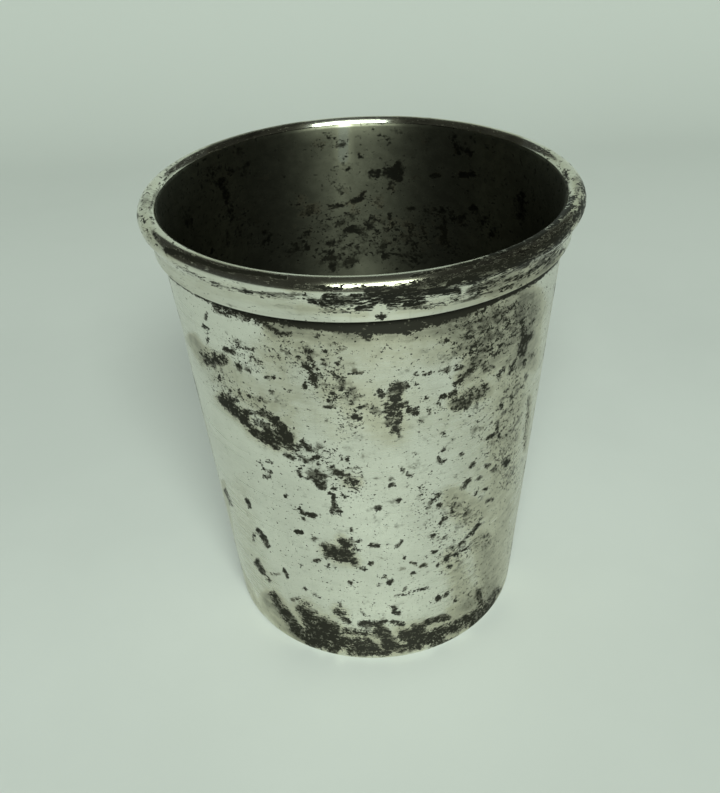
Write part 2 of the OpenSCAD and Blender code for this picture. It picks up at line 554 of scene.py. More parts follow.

# %% [markdown]
# ## Old silver plate
# One recipe gives all the plated surfaces. The silver itself is metal, a little warm, with the fine
# level lines that a cloth leaves on a spun cup. Over it grow black specks of tarnish, which gather in
# clusters with ragged edges. A painted picture could hold them, but it would blur close by. Here only
# the places where specks gather are painted on the mesh, as an attribute for tarnish. The shader
# compares that number with a fine noise, so a low number leaves a few lone specks and a high number a
# nearly solid black patch. A second attribute, for haze, dulls the silver to grey without blackening it,
# and a third, polish, makes the metal smoother. In a few places the first two also carry painted shade,
# and inside, the haze is taken out for a painted sheen. Outside, the black is a matt crust on the metal.
# Inside, it is a soft round stain that leaves the metal bare.

# %% Black specks and grey film
LEVEL_SPECKS = (1.0, 1.0, 1.3)
COLLAR_SPECKS = (0.5, 0.5, 2.0)
SHAKE = (0.0008, 0.0008, 0.0008)
SHAKE_SCALE = 1400.0
FINE_SPECKS = {700.0: 0.14, 1500.0: 0.42, 3400.0: 0.44}
ROUND_SPECKS = {700.0: 0.50, 1500.0: 0.50}
SPECK_LEVEL = 0.676
SPECK_SINK = -0.262
SPECK_EDGE = (-0.026, 0.034)
LARGE_DOTS = dict(scale=420.0, smallest=0.04, largest=0.17)
LARGE_DOTS_START = 0.7
LARGE_DOTS_GROW = 0.6
SMALL_DOTS = dict(scale=1600.0, smallest=0.08, largest=0.38)
SMALL_DOTS_LATE = 0.1
SMALL_DOTS_GROW = 2.2
DOT_EDGE = 0.06
FILM_LEVEL = 0.74
FILM_SINK = -0.42
FILM_EDGE = (-0.07, 0.15)


def speck_place(tree, place, stretch):
    """Coordinates that draw specks out level round the cup, shaken a little so that none is regular."""
    squeezed = add_node(tree, "ShaderNodeMapping", Vector=place, Scale=stretch).outputs[0]
    shake = add_node(tree, "ShaderNodeTexNoise", Vector=place, Scale=SHAKE_SCALE, Detail=2.0)
    moved = add_node(tree, "ShaderNodeVectorMath", {"operation": "MULTIPLY_ADD"})
    for socket, value in zip(moved.inputs, (shake.outputs["Color"], SHAKE, squeezed)):
        fill_input(tree, socket, value)
    return moved.outputs[0]


def lone_dots(tree, place, share, scale, smallest, largest):
    """Round specks, one in some of the cells of a Voronoi pattern."""
    cells = add_node(tree, "ShaderNodeTexVoronoi", Vector=place, Scale=scale)
    chance = add_node(tree, "ShaderNodeSeparateColor", Color=cells.outputs["Color"])
    size = ramp(tree, chance.outputs["Green"], 0.0, 1.0, smallest, largest)
    there = add_math(tree, "LESS_THAN", chance.outputs["Red"], share)
    edge = add_math(tree, "SUBTRACT", add_math(tree, "MULTIPLY", size, there), cells.outputs["Distance"])
    return ramp(tree, edge, 0.0, DOT_EDGE)


def black_specks(tree, place, tarnish_and_shade, dots, sizes, soft):
    """Noises of several sizes together: black above a level that sinks where tarnish is painted."""
    grain = 0.0
    for scale, share in sizes.items():
        fine = noise(tree, place, scale, detail=1.0, roughness=0.5)
        grain = add_math(tree, "MULTIPLY_ADD", fine, share, grain)
    level = add_math(tree, "MULTIPLY_ADD", tarnish_and_shade, SPECK_SINK, SPECK_LEVEL)
    low, high = (edge * soft for edge in SPECK_EDGE)
    cluster = ramp(tree, add_math(tree, "SUBTRACT", grain, level), low, high)
    squared = add_math(tree, "MULTIPLY", tarnish_and_shade, tarnish_and_shade)
    few = add_math(tree, "MULTIPLY_ADD", squared, LARGE_DOTS_GROW, dots * LARGE_DOTS_START)
    many = add_math(tree, "MULTIPLY_ADD", squared, SMALL_DOTS_GROW, dots - SMALL_DOTS_LATE)
    large = lone_dots(tree, place, few, **LARGE_DOTS)
    small = lone_dots(tree, place, many, **SMALL_DOTS)
    return add_math(tree, "MAXIMUM", cluster, add_math(tree, "MAXIMUM", large, small))


def grey_film(tree, place, tarnish_and_shade):
    """A smoky film with soft edges, wherever specks gather."""
    patches = noise(tree, place, scale=330.0, detail=4.0, roughness=0.6)
    level = add_math(tree, "MULTIPLY_ADD", tarnish_and_shade, FILM_SINK, FILM_LEVEL)
    return ramp(tree, add_math(tree, "SUBTRACT", patches, level), *FILM_EDGE)


# %% Lines, scratches and clouds in the silver
BRUSH_LINES = (26.0, 26.0, 1900.0)
HAIR_SCRATCHES = (1500.0, 1500.0, 32.0)
STREAKY = 0.22
ACROSS_THE_LINES = 0.25


def silver_grain(tree, place, level):
    """The noises that the tone, the gloss and the relief of the silver are made of."""
    return {
        "clouds": noise(tree, place, scale=60.0, detail=5.0, roughness=0.6),
        "mottle": noise(tree, level, scale=420.0, detail=5.0, roughness=0.6),
        "lines": noise(tree, place, scale=1.0, detail=4.0, roughness=0.6, stretch=BRUSH_LINES),
        "scratches": noise(tree, place, scale=1.0, detail=1.0, roughness=0.5, stretch=HAIR_SCRATCHES),
    }


def break_up_haze(tree, haze_shade_and_sheen, grain, patchy, brushed):
    """Painted haze, thinner in patches and along the fine lines."""
    patches = ramp(tree, grain["mottle"], 0.30, 0.66, to_low=1 - patchy)
    streaks = ramp(tree, grain["lines"], 0.3, 0.7, to_low=1 - STREAKY * brushed)
    return add_math(tree, "MULTIPLY", add_math(tree, "MULTIPLY", haze_shade_and_sheen, patches), streaks)


def brush_reflections(tree, shader, place, spread):
    """Spreads reflections across the fine lines that run level round a spun cup."""
    across = add_node(tree, "ShaderNodeSeparateXYZ", Vector=place).outputs
    along = add_node(
        tree, "ShaderNodeCombineXYZ", X=add_math(tree, "MULTIPLY", across["Y"], -1.0), Y=across["X"])
    fill_input(tree, shader.inputs["Tangent"], along.outputs[0])
    shader.inputs["Anisotropic"].default_value = spread
    shader.inputs["Anisotropic Rotation"].default_value = ACROSS_THE_LINES


# %% Tone, gloss and relief of the plate
# The black of tarnish; on the wall it also colours the painted shade under the collar
TARNISH_AND_SHADE_COLOUR = (0.022, 0.021, 0.0155, 1)
FILM_COLOUR = (0.12, 0.114, 0.088, 1)
STAIN_COLOUR = (0.50, 0.45, 0.32, 1)
WARM_SHARES = (1.0, 0.965, 0.86, 1)
STAIN_SHARE = 0.5
FILM_SHARE = 0.90
POLISH_SHARE = 0.6
LINE_ROUGHNESS = 0.02
HAZE_ROUGHNESS = 0.12
BLACK_ROUGHNESS = 0.3
BLACK_PITS = -0.3
LINE_HEIGHT = 0.018
RELIEF = 0.35
POLISHED_RELIEF = -0.3
RELIEF_DEPTH = 0.03 * MM


def silver_tone(tree, grain, dulled, film, silver, dull, film_tone, brushed):
    """Clean silver, warmed and dulled in faint marks, then hazed, stained and filmed over."""
    warm = tuple(shade * share for shade, share in zip(silver, WARM_SHARES))
    tone = mix_colour(tree, ramp(tree, dulled, 0.0, 0.35), silver, warm)
    # Which noise dulls the silver, from and to which of its values, and by how much at most
    for name, low, high, most in (
        ("clouds", 0.36, 0.68, 0.13),
        ("mottle", 0.46, 0.68, 0.06),
        ("lines", 0.5, 0.75, 0.045 * brushed),
        ("scratches", 0.66, 0.72, 0.08 * brushed),
    ):
        tone = mix_colour(tree, ramp(tree, grain[name], low, high, to_high=most), tone, dull)
    tone = mix_colour(tree, dulled, tone, dull)
    stain = add_math(tree, "MULTIPLY", ramp(tree, grain["clouds"], 0.5, 0.62), film)
    tone = mix_colour(tree, add_math(tree, "MULTIPLY", stain, STAIN_SHARE), tone, STAIN_COLOUR)
    return mix_colour(tree, add_math(tree, "MULTIPLY", film, FILM_SHARE), tone, film_tone)


def plate_roughness(tree, lines, dulled, polish, black, gloss, brushed):
    """Rougher where hazy or black, smoother where polished, and a little uneven along the lines."""
    swing = LINE_ROUGHNESS * brushed
    uneven = ramp(tree, lines, 0.2, 0.8, gloss - swing, gloss + swing)
    rough = add_math(tree, "ADD", uneven, add_math(tree, "MULTIPLY", polish, -gloss * POLISH_SHARE))
    rough = add_math(tree, "MULTIPLY_ADD", dulled, HAZE_ROUGHNESS, rough)
    return add_math(tree, "MULTIPLY_ADD", black, BLACK_ROUGHNESS, rough)


def plate_relief(tree, lines, polish, black, brushed):
    """Fine lines that stand up and black specks that are pitted, both rubbed away by polish."""
    pits = add_math(tree, "MULTIPLY", black, BLACK_PITS)
    height = add_math(tree, "MULTIPLY_ADD", lines, LINE_HEIGHT * brushed, pits)
    strength = add_math(tree, "MULTIPLY_ADD", polish, POLISHED_RELIEF, RELIEF)
    bump = add_node(tree, "ShaderNodeBump", Strength=strength, Distance=RELIEF_DEPTH, Height=height)
    return bump.outputs[0]


# %% The recipe for plate
RAGGED = (0.74, 1.24)


def plate_material(
        name, silver, dull, gloss, dots=0.07, brushed=1.0, spread=0.85, stretch=LEVEL_SPECKS,
        film_tone=FILM_COLOUR, black_tone=TARNISH_AND_SHADE_COLOUR, black_shine=0.12, bare=1.0,
        specks=FINE_SPECKS, soft=1.0, patchy=0.4, crust=0.9):
    """Silver plate: its colour when clean and when dulled, its roughness, and its share of dots.

    The share that is bare metal is lower where a thin brown coat lies over everything. A black crust
    hides the metal by its own share, and a stain, with no crust, leaves it bare."""
    plate, tree, shader, place = new_finish(name)
    # These attributes also carry painted shade in places, and inside the haze carries a painted sheen
    tarnish_and_shade, haze_shade_and_sheen, polish = (painted(tree, layer) for layer in ("tarnish_and_shade", "haze_shade_and_sheen", "polish"))
    brush_reflections(tree, shader, place, spread)
    level = speck_place(tree, place, stretch)
    edges = noise(tree, level, scale=800.0, detail=3.0, roughness=0.65)
    tarnish_and_shade = add_math(tree, "MULTIPLY", tarnish_and_shade, ramp(tree, edges, 0.35, 0.65, *RAGGED))
    black = black_specks(tree, level, tarnish_and_shade, dots, specks, soft)
    film = grey_film(tree, level, tarnish_and_shade)
    grain = silver_grain(tree, place, level)
    dulled = break_up_haze(tree, haze_shade_and_sheen, grain, patchy, brushed)
    tone = silver_tone(tree, grain, dulled, film, silver, dull, film_tone, brushed)
    rough = plate_roughness(tree, grain["lines"], dulled, polish, black, gloss, brushed)
    fill_input(tree, shader.inputs["Base Color"], mix_colour(tree, black, tone, black_tone))
    fill_input(tree, shader.inputs["Roughness"], rough)
    fill_input(tree, shader.inputs["Normal"], plate_relief(tree, grain["lines"], polish, black, brushed))
    shader.inputs["Specular IOR Level"].default_value = black_shine
    shader.inputs["Metallic"].default_value = bare
    if crust:
        fill_input(tree, shader.inputs["Metallic"], add_math(tree, "MULTIPLY_ADD", black, -crust, bare))
    print(name, "has", len(tree.nodes), "shader nodes")
    return plate


# %% Four kinds of plate
WALL_PLATE = plate_material(
    "old_plate_outside", silver=(0.86, 0.86, 0.765, 1), dull=(0.13, 0.125, 0.098, 1), gloss=0.26)
INSIDE_PLATE = plate_material(
    "old_plate_inside", silver=(0.36, 0.37, 0.315, 1), dull=(0.055, 0.055, 0.041, 1), gloss=0.34,
    dots=0.05, brushed=0.0, spread=0.72,
    film_tone=(0.014, 0.0135, 0.0095, 1), black_tone=(0.013, 0.0128, 0.0098, 1),
    black_shine=0.03, bare=0.96, specks=ROUND_SPECKS, soft=3.2, patchy=0.12, crust=0.0)
COLLAR_PLATE = plate_material(
    "old_plate_collar", silver=(0.88, 0.88, 0.78, 1), dull=(0.12, 0.115, 0.09, 1), gloss=0.29,
    stretch=COLLAR_SPECKS, black_tone=(0.015, 0.0143, 0.0105, 1), black_shine=0.08)
FLOOR_PLATE = plate_material(
    "old_plate_floor", silver=(0.42, 0.40, 0.34, 1), dull=(0.16, 0.15, 0.125, 1), gloss=0.42,
    dots=0.2, brushed=0.5)

# %% [markdown]
# ## Solder and wire
# Soft solder is a grey alloy that dulls and pits. The wire inside the lip is brass, and it shows
# only where the collar is cut open. Both take a plain metal with a little cloud in its tone, because
# neither has the lines of spun sheet.

# %% Solder and wire
PIT_STRENGTH = 0.4
PIT_DEPTH = 0.05 * MM
ROUGHNESS_SWING = 0.2


def cast_metal(name, bright, dark, rough, scale):
    """A cast or drawn metal: two tones in clouds, and small pits."""
    metal, tree, shader, place = new_finish(name)
    clouds = noise(tree, place, scale, detail=6.0, roughness=0.62)
    mottled = mix_colour(tree, ramp(tree, clouds, 0.35, 0.65), bright, dark)
    uneven = ramp(tree, clouds, 0.3, 0.7, rough, rough + ROUGHNESS_SWING)
    fill_input(tree, shader.inputs["Base Color"], mottled)
    fill_input(tree, shader.inputs["Roughness"], uneven)
    shader.inputs["Metallic"].default_value = 1.0
    bump = add_node(tree, "ShaderNodeBump", Strength=PIT_STRENGTH, Distance=PIT_DEPTH, Height=clouds)
    fill_input(tree, shader.inputs["Normal"], bump.outputs[0])
    print(name, "has", len(tree.nodes), "shader nodes")
    return metal


SOLDER_METAL = cast_metal(
    "grey_solder", bright=(0.27, 0.26, 0.24, 1), dark=(0.09, 0.085, 0.075, 1), rough=0.42, scale=900.0)
WIRE_METAL = cast_metal(
    "drawn_brass", bright=(0.62, 0.46, 0.20, 1), dark=(0.36, 0.26, 0.11, 1), rough=0.3, scale=600.0)

# %% [markdown]
# ## Turn the pieces
# The lathe now makes the wall, the collar, the floor and the run of solder round the floor. The collar
# gets the most steps, because its lip mirrors everything and a coarse one would show facets.

# %% Turn wall, collar, floor and solder
wall = turn_on_lathe("tumbler_wall", wall_outline(), WALL_PLATE, front=210, behind=160)
collar = turn_on_lathe("tumbler_collar", collar_outline(), COLLAR_PLATE, front=400, behind=300)
floor = turn_on_lathe(
    "tumbler_floor", floor_outline(), FLOOR_PLATE, front=120, behind=180, closed=False)
floor_solder = turn_on_lathe(
    "floor_solder_run", solder_outline(), SOLDER_METAL, front=120, behind=180)

# %% [markdown]
# ## Dents
# A spun cup that has been used for years isn't quite true. Sculpting by hand would give dents, but
# not the same ones each time, so each dent here is a soft bell that moves the sheet towards the axis.
# Outside and inside move together, as they would, and the foot and the collar's seat stay round.

# %% Press dents into the wall
DENTS = {
    # Turn in degrees from the front, height, half width, half height and depth in millimetres
    "left side, below the collar": (-83, 66, 6.0, 5.0, 0.45),
    "front, left of the middle": (-4, 56, 3.5, 8.0, 0.16),
    "front, low on the right": (38, 14, 14.0, 9.0, 0.30),
    "back, half way up": (150, 48, 7.0, 7.0, 0.35),
    "back, near the foot": (-128, 16, 9.0, 6.0, 0.25),
}
TRUE_BELOW = 3 * MM
TRUE_ABOVE = 76 * MM
TRUE_FADE = 6 * MM


def read_vectors(rows, name):
    """Three numbers for each point, normal or face of a mesh, as an array."""
    flat = np.empty(len(rows) * 3)
    rows.foreach_get(name, flat)
    return flat.reshape(-1, 3)


def mesh_points(piece):
    """The place of every point of a mesh."""
    return read_vectors(piece.data.vertices, "co")


def move_points(piece, points):
    """Puts every point of a mesh in its new place."""
    piece.data.vertices.foreach_set("co", points.ravel())
    piece.data.update()


def radius_of(points):
    """The distance of each point from the axis."""
    return np.hypot(points[:, 0], points[:, 1])


def turn_of(points):
    """The angle of each point round the axis, in degrees: 0 in front, positive to the right."""
    return np.degrees(np.arctan2(points[:, 0], -points[:, 1]))


def press_dents(piece):
    """Pushes the sheet towards the axis inside each dent."""
    points = mesh_points(piece)
    turns = turn_of(points)
    radius = radius_of(points)
    depth = np.zeros(len(points))
    for turn, height, half_w, half_h, deep in DENTS.values():
        apart = (turns - turn + 180) % 360 - 180
        across = np.radians(apart) * radius / (half_w * MM)
        along = (points[:, 2] - height * MM) / (half_h * MM)
        depth += deep * MM * np.exp(-(across ** 2 + along ** 2))
    depth *= np.clip((points[:, 2] - TRUE_BELOW) / TRUE_FADE, 0, 1)
    depth *= np.clip((TRUE_ABOVE - points[:, 2]) / TRUE_FADE, 0, 1)
    points[:, :2] *= ((radius - depth) / radius)[:, None]
    move_points(piece, points)
    print(piece.name, "deepest dent", round(float(depth.max() / MM), 2), "mm")


press_dents(wall)

# %% [markdown]
# ## A worn lip
# Lips and cloths have rubbed the lip for years, and its far side no longer has the full round. The
# flat there is too slight to see as a shape, but it turns the reflections, so that the inner shoulder
# catches the lamp in one wide streak. Wall and collar are worn together, because they meet there.

# %% Wear the far side of the lip
WORN_SLOPE = 151.0
WORN_HALF_SLOPE = 35.0
WORN_DEEP = 0.12 * MM
WORN_FROM_TURN = 125.0
WORN_FADE = 30.0
SKIN_T = 0.01 * MM


def wear_lip(piece):
    """Rubs the inner shoulder of the lip almost flat at the back, where a thumb and a cloth go."""
    points = mesh_points(piece)
    radius = radius_of(points)
    out, up = radius - LIP_C[0], points[:, 2] - LIP_C[1]
    away = np.hypot(out, up)
    slope = np.degrees(np.arctan2(up, out)) % 360
    off = np.clip((slope - WORN_SLOPE) / WORN_HALF_SLOPE, -1, 1)
    behind = np.clip((np.abs(turn_of(points)) - WORN_FROM_TURN) / WORN_FADE, 0, 1)
    on_skin = np.abs(away - LIP_R) < SKIN_T
    depth = WORN_DEEP * np.cos(off * math.pi / 2) ** 2 * behind * on_skin
    share = 1 - depth / np.maximum(away, LIP_R / 2)
    points[:, 2] = LIP_C[1] + up * share
    points[:, :2] *= ((LIP_C[0] + out * share) / np.maximum(radius, MM))[:, None]
    move_points(piece, points)
    print(piece.name, "worn by", round(float(depth.max() / MM), 2), "mm")


wear_lip(wall)
wear_lip(collar)

# %% [markdown]
# ## Paint the wear
# Years of use show as black tarnish, in spots, smears, dashes and bands. Each mark below is a stroke of
# a brush: the pixels of the picture where it starts and ends, how black it is, and how wide. A second
# width is given where its end is wider or narrower. A point of the mesh finds its own pixel through the
# camera and takes the blackest stroke that covers it. Texture Paint would do this by hand, but
# strokes that are written down can be read, moved, and painted again on a finer mesh.
# Only points that face the camera are painted this way.

# %% Marks on the upper wall
UPPER_MARKS = {
    "left cluster": [
        (203, 352, 212, 366, 0.62, 5, 4), (207, 361, 224, 361, 0.85, 6, 5), (214, 353, 222, 357, 0.75, 4),
        (225, 349, 234, 352, 0.88, 3, 2.5)],
    "specks right of the left cluster": [
        (240, 347, 247, 350, 0.72, 3), (250, 350, 254, 349, 0.8, 2), (251, 357, 259, 362, 0.65, 3),
        (236, 363, 240, 368, 0.9, 2.5), (234, 341, 240, 343, 0.62, 2), (247, 370, 251, 372, 0.75, 2),
        (230, 345, 258, 368, 0.42, 11, 9)],
    "left dashes": [
        (203, 326, 208, 329, 1.05, 2, 2.2), (207, 333, 208, 343, 0.66, 2), (206, 314, 206, 319, 0.85, 2)],
    "grime hanging under the collar": [
        (212, 306, 232, 316, 0.64, 5), (232, 315, 266, 324, 0.64, 5), (352, 330, 412, 331, 0.62, 4, 4.5),
        (412, 330, 440, 323, 0.58, 4), (460, 315, 485, 308, 0.58, 4)],
    "short line under the collar": [
        (270, 327, 280, 333, 0.95, 2, 2.2), (280, 334, 292, 333, 0.8, 2.2, 2)],
    "spots under the collar": [
        (317, 336, 319, 336, 1.05, 2.2), (362, 335, 369, 338, 1.05, 3.4, 3.2),
        (338, 331, 344, 332, 0.9, 2.2), (330, 344, 345, 347, 0.5, 4), (322, 351, 326, 351, 0.9, 2),
        (380, 330, 388, 332, 0.8, 2.6, 2.4), (400, 331, 408, 334, 0.8, 2.6, 2.4),
        (446, 340, 449, 340, 0.95, 2.2, 2), (440, 343, 455, 344, 0.45, 3), (464, 337, 467, 338, 0.75, 2)],
    "slanting streak": [
        (305, 350, 310, 352, 0.82, 3.5), (298, 357, 308, 369, 0.88, 3, 3.2),
        (308, 369, 314, 382, 0.92, 3, 3.5), (309, 358, 316, 368, 0.88, 3.5, 2.2),
        (316, 368, 319, 376, 0.72, 2), (304, 384, 305, 388, 1, 2.5, 2.2),
        (313, 377, 316, 386, 0.98, 4, 2.5), (300, 352, 322, 385, 0.44, 15, 13)],
    "spots right of the slanting streak": [
        (322, 359, 326, 361, 0.88, 2.5), (322, 365, 326, 366, 0.88, 2.2),
        (333, 372, 337, 377, 0.98, 3.2, 3), (337, 362, 340, 364, 0.85, 2.2),
        (342, 378, 344, 378, 0.85, 2.2), (275, 345, 340, 395, 0.41, 20, 22)],
}


def count_strokes(marks):
    """How many strokes a group of marks has."""
    return sum(len(strokes) for strokes in marks.values())


print("upper wall:", count_strokes(UPPER_MARKS), "strokes")

# %% Marks round the long smear
SMEAR_MARKS = {
    "upper end": [
        (219, 396, 228, 399, 0.55, 4, 5), (222, 398, 232, 408, 1.08, 5, 5.5),
        (228, 397, 238, 401, 0.72, 4, 3.5)],
    "middle": [
        (232, 408, 244, 417, 1.05, 5, 5.5), (240, 412, 254, 432, 1, 5, 4.5),
        (246, 412, 262, 414, 0.8, 3, 3.5), (262, 411, 276, 420, 0.9, 4, 4.2),
        (254, 421, 268, 426, 0.74, 4), (252, 431, 268, 441, 0.96, 4, 4.5)],
    "lower end": [
        (268, 433, 286, 438, 0.94, 6, 7), (276, 421, 290, 438, 1, 4.6, 5.4),
        (280, 437, 290, 446, 1.05, 4.8, 4.2), (270, 442, 276, 448, 0.92, 2.5),
        (263, 436, 278, 445, 0.98, 5), (290, 443, 300, 448, 0.84, 3.4, 2.6)],
    "specks after it": [
        (285, 455, 294, 459, 1, 2.2), (296, 450, 306, 462, 0.6, 5, 3), (301, 441, 306, 446, 1, 2.2, 2),
        (308, 446, 311, 452, 0.82, 2.5), (313, 458, 318, 458, 1.1, 2.2), (303, 458, 306, 462, 0.92, 2),
        (320, 450, 340, 458, 0.5, 8), (290, 452, 320, 470, 0.4, 8)],
    "specks above it": [
        (218, 380, 262, 405, 0.38, 13, 10), (238, 391, 241, 399, 0.82, 2), (230, 390, 231, 391, 0.85, 2),
        (249, 395, 250, 397, 0.95, 2), (261, 398, 262, 398, 0.85, 2), (270, 391, 272, 392, 0.85, 2.2),
        (219, 377, 221, 380, 0.9, 2), (265, 377, 274, 378, 0.85, 2.2), (289, 391, 290, 391, 0.85, 2)],
    "dots below it": [
        (260, 461, 262, 464, 0.95, 2.2), (267, 461, 273, 462, 0.78, 2), (264, 469, 271, 472, 1.05, 2.2),
        (265, 476, 269, 477, 1.05, 2.4), (247, 474, 250, 478, 0.4, 3),
        (299, 471, 301, 476, 0.98, 3, 2.5)],
}
print("long smear:", count_strokes(SMEAR_MARKS), "strokes")

# %% Marks in the middle of the wall
MIDDLE_MARKS = {
    "speck field": [
        (345, 395, 352, 405, 0.42, 6), (354, 372, 362, 373, 0.85, 2), (371, 382, 372, 382, 0.92, 2),
        (355, 410, 366, 405, 0.82, 2.2), (355, 417, 361, 418, 1.05, 3, 2.6),
        (331, 393, 333, 394, 1.05, 2.2), (329, 400, 335, 399, 0.85, 2), (325, 407, 332, 407, 1, 2, 2.2),
        (341, 391, 343, 386, 0.88, 2), (314, 395, 315, 395, 0.78, 2), (325, 420, 327, 420, 0.72, 2),
        (293, 428, 294, 432, 0.65, 2), (330, 358, 350, 425, 0.47, 17), (352, 395, 376, 412, 0.47, 10, 8)],
    "upright patch": [
        (390, 383, 407, 383, 0.88, 2.8, 2.6), (391, 389, 398, 388, 0.82, 3.6),
        (399, 388, 409, 386, 0.84, 3, 2.4), (400, 393, 397, 398, 0.92, 4),
        (390, 398, 397, 400, 0.87, 4, 4.6), (388, 404, 400, 405, 0.9, 4.6, 5),
        (387, 411, 393, 412, 0.87, 4.4, 5), (397, 408, 400, 417, 0.97, 4.6, 4),
        (389, 417, 399, 420, 0.85, 4.4), (388, 424, 395, 428, 0.92, 4.4, 4.8),
        (398, 424, 399, 430, 0.84, 3), (391, 432, 392, 433, 0.8, 2.2), (399, 434, 400, 437, 0.84, 2.2)],
    "spots beside the upright patch": [
        (379, 391, 382, 395, 1.1, 3.8, 3.6), (410, 410, 416, 411, 1.25, 4.4, 3.8),
        (414, 382, 416, 386, 0.75, 2.2), (406, 403, 407, 403, 1, 2.2), (418, 360, 416, 364, 0.75, 2),
        (384, 348, 385, 349, 0.88, 2), (426, 398, 427, 398, 1, 2.2, 2),
        (429, 410, 430, 412, 0.82, 2.2, 2), (416, 373, 417, 375, 0.8, 2), (424, 375, 433, 373, 0.88, 2),
        (440, 371, 448, 370, 1, 2, 2.2), (443, 434, 446, 436, 0.95, 2.2), (438, 401, 440, 406, 0.88, 2.2),
        (413, 453, 415, 453, 0.95, 2.2, 2), (419, 421, 421, 422, 0.72, 2),
        (365, 350, 440, 345, 0.27, 18, 16), (400, 380, 440, 410, 0.27, 22, 20)],
    "middle cluster": [
        (318, 463, 320, 467, 0.82, 2.2, 2), (317, 470, 319, 476, 0.82, 3, 3.5),
        (309, 477, 315, 477, 1, 2.2, 2.5), (322, 476, 325, 477, 1.05, 2.2),
        (316, 481, 324, 487, 0.96, 3.8), (318, 486, 322, 489, 0.92, 2.5), (331, 468, 333, 466, 0.82, 2),
        (336, 471, 342, 474, 1.08, 2.5), (333, 488, 335, 489, 0.98, 2.2),
        (300, 455, 362, 490, 0.42, 16, 14)],
    "right of the middle cluster": [
        (348, 468, 362, 468, 0.75, 2), (346, 475, 349, 475, 0.85, 2.2), (361, 472, 362, 476, 0.95, 2.2),
        (347, 481, 357, 482, 0.86, 4), (353, 486, 357, 489, 0.92, 2.2),
        (347, 457, 348, 461, 0.92, 2.5, 2.2)],
    "tail of the middle cluster": [
        (329, 493, 333, 495, 1, 2.2), (342, 491, 346, 500, 0.64, 3), (334, 497, 334, 509, 0.95, 2.6, 3),
        (332, 511, 339, 513, 0.98, 3), (339, 508, 341, 512, 0.82, 2)],
}
print("middle of the wall:", count_strokes(MIDDLE_MARKS), "strokes")

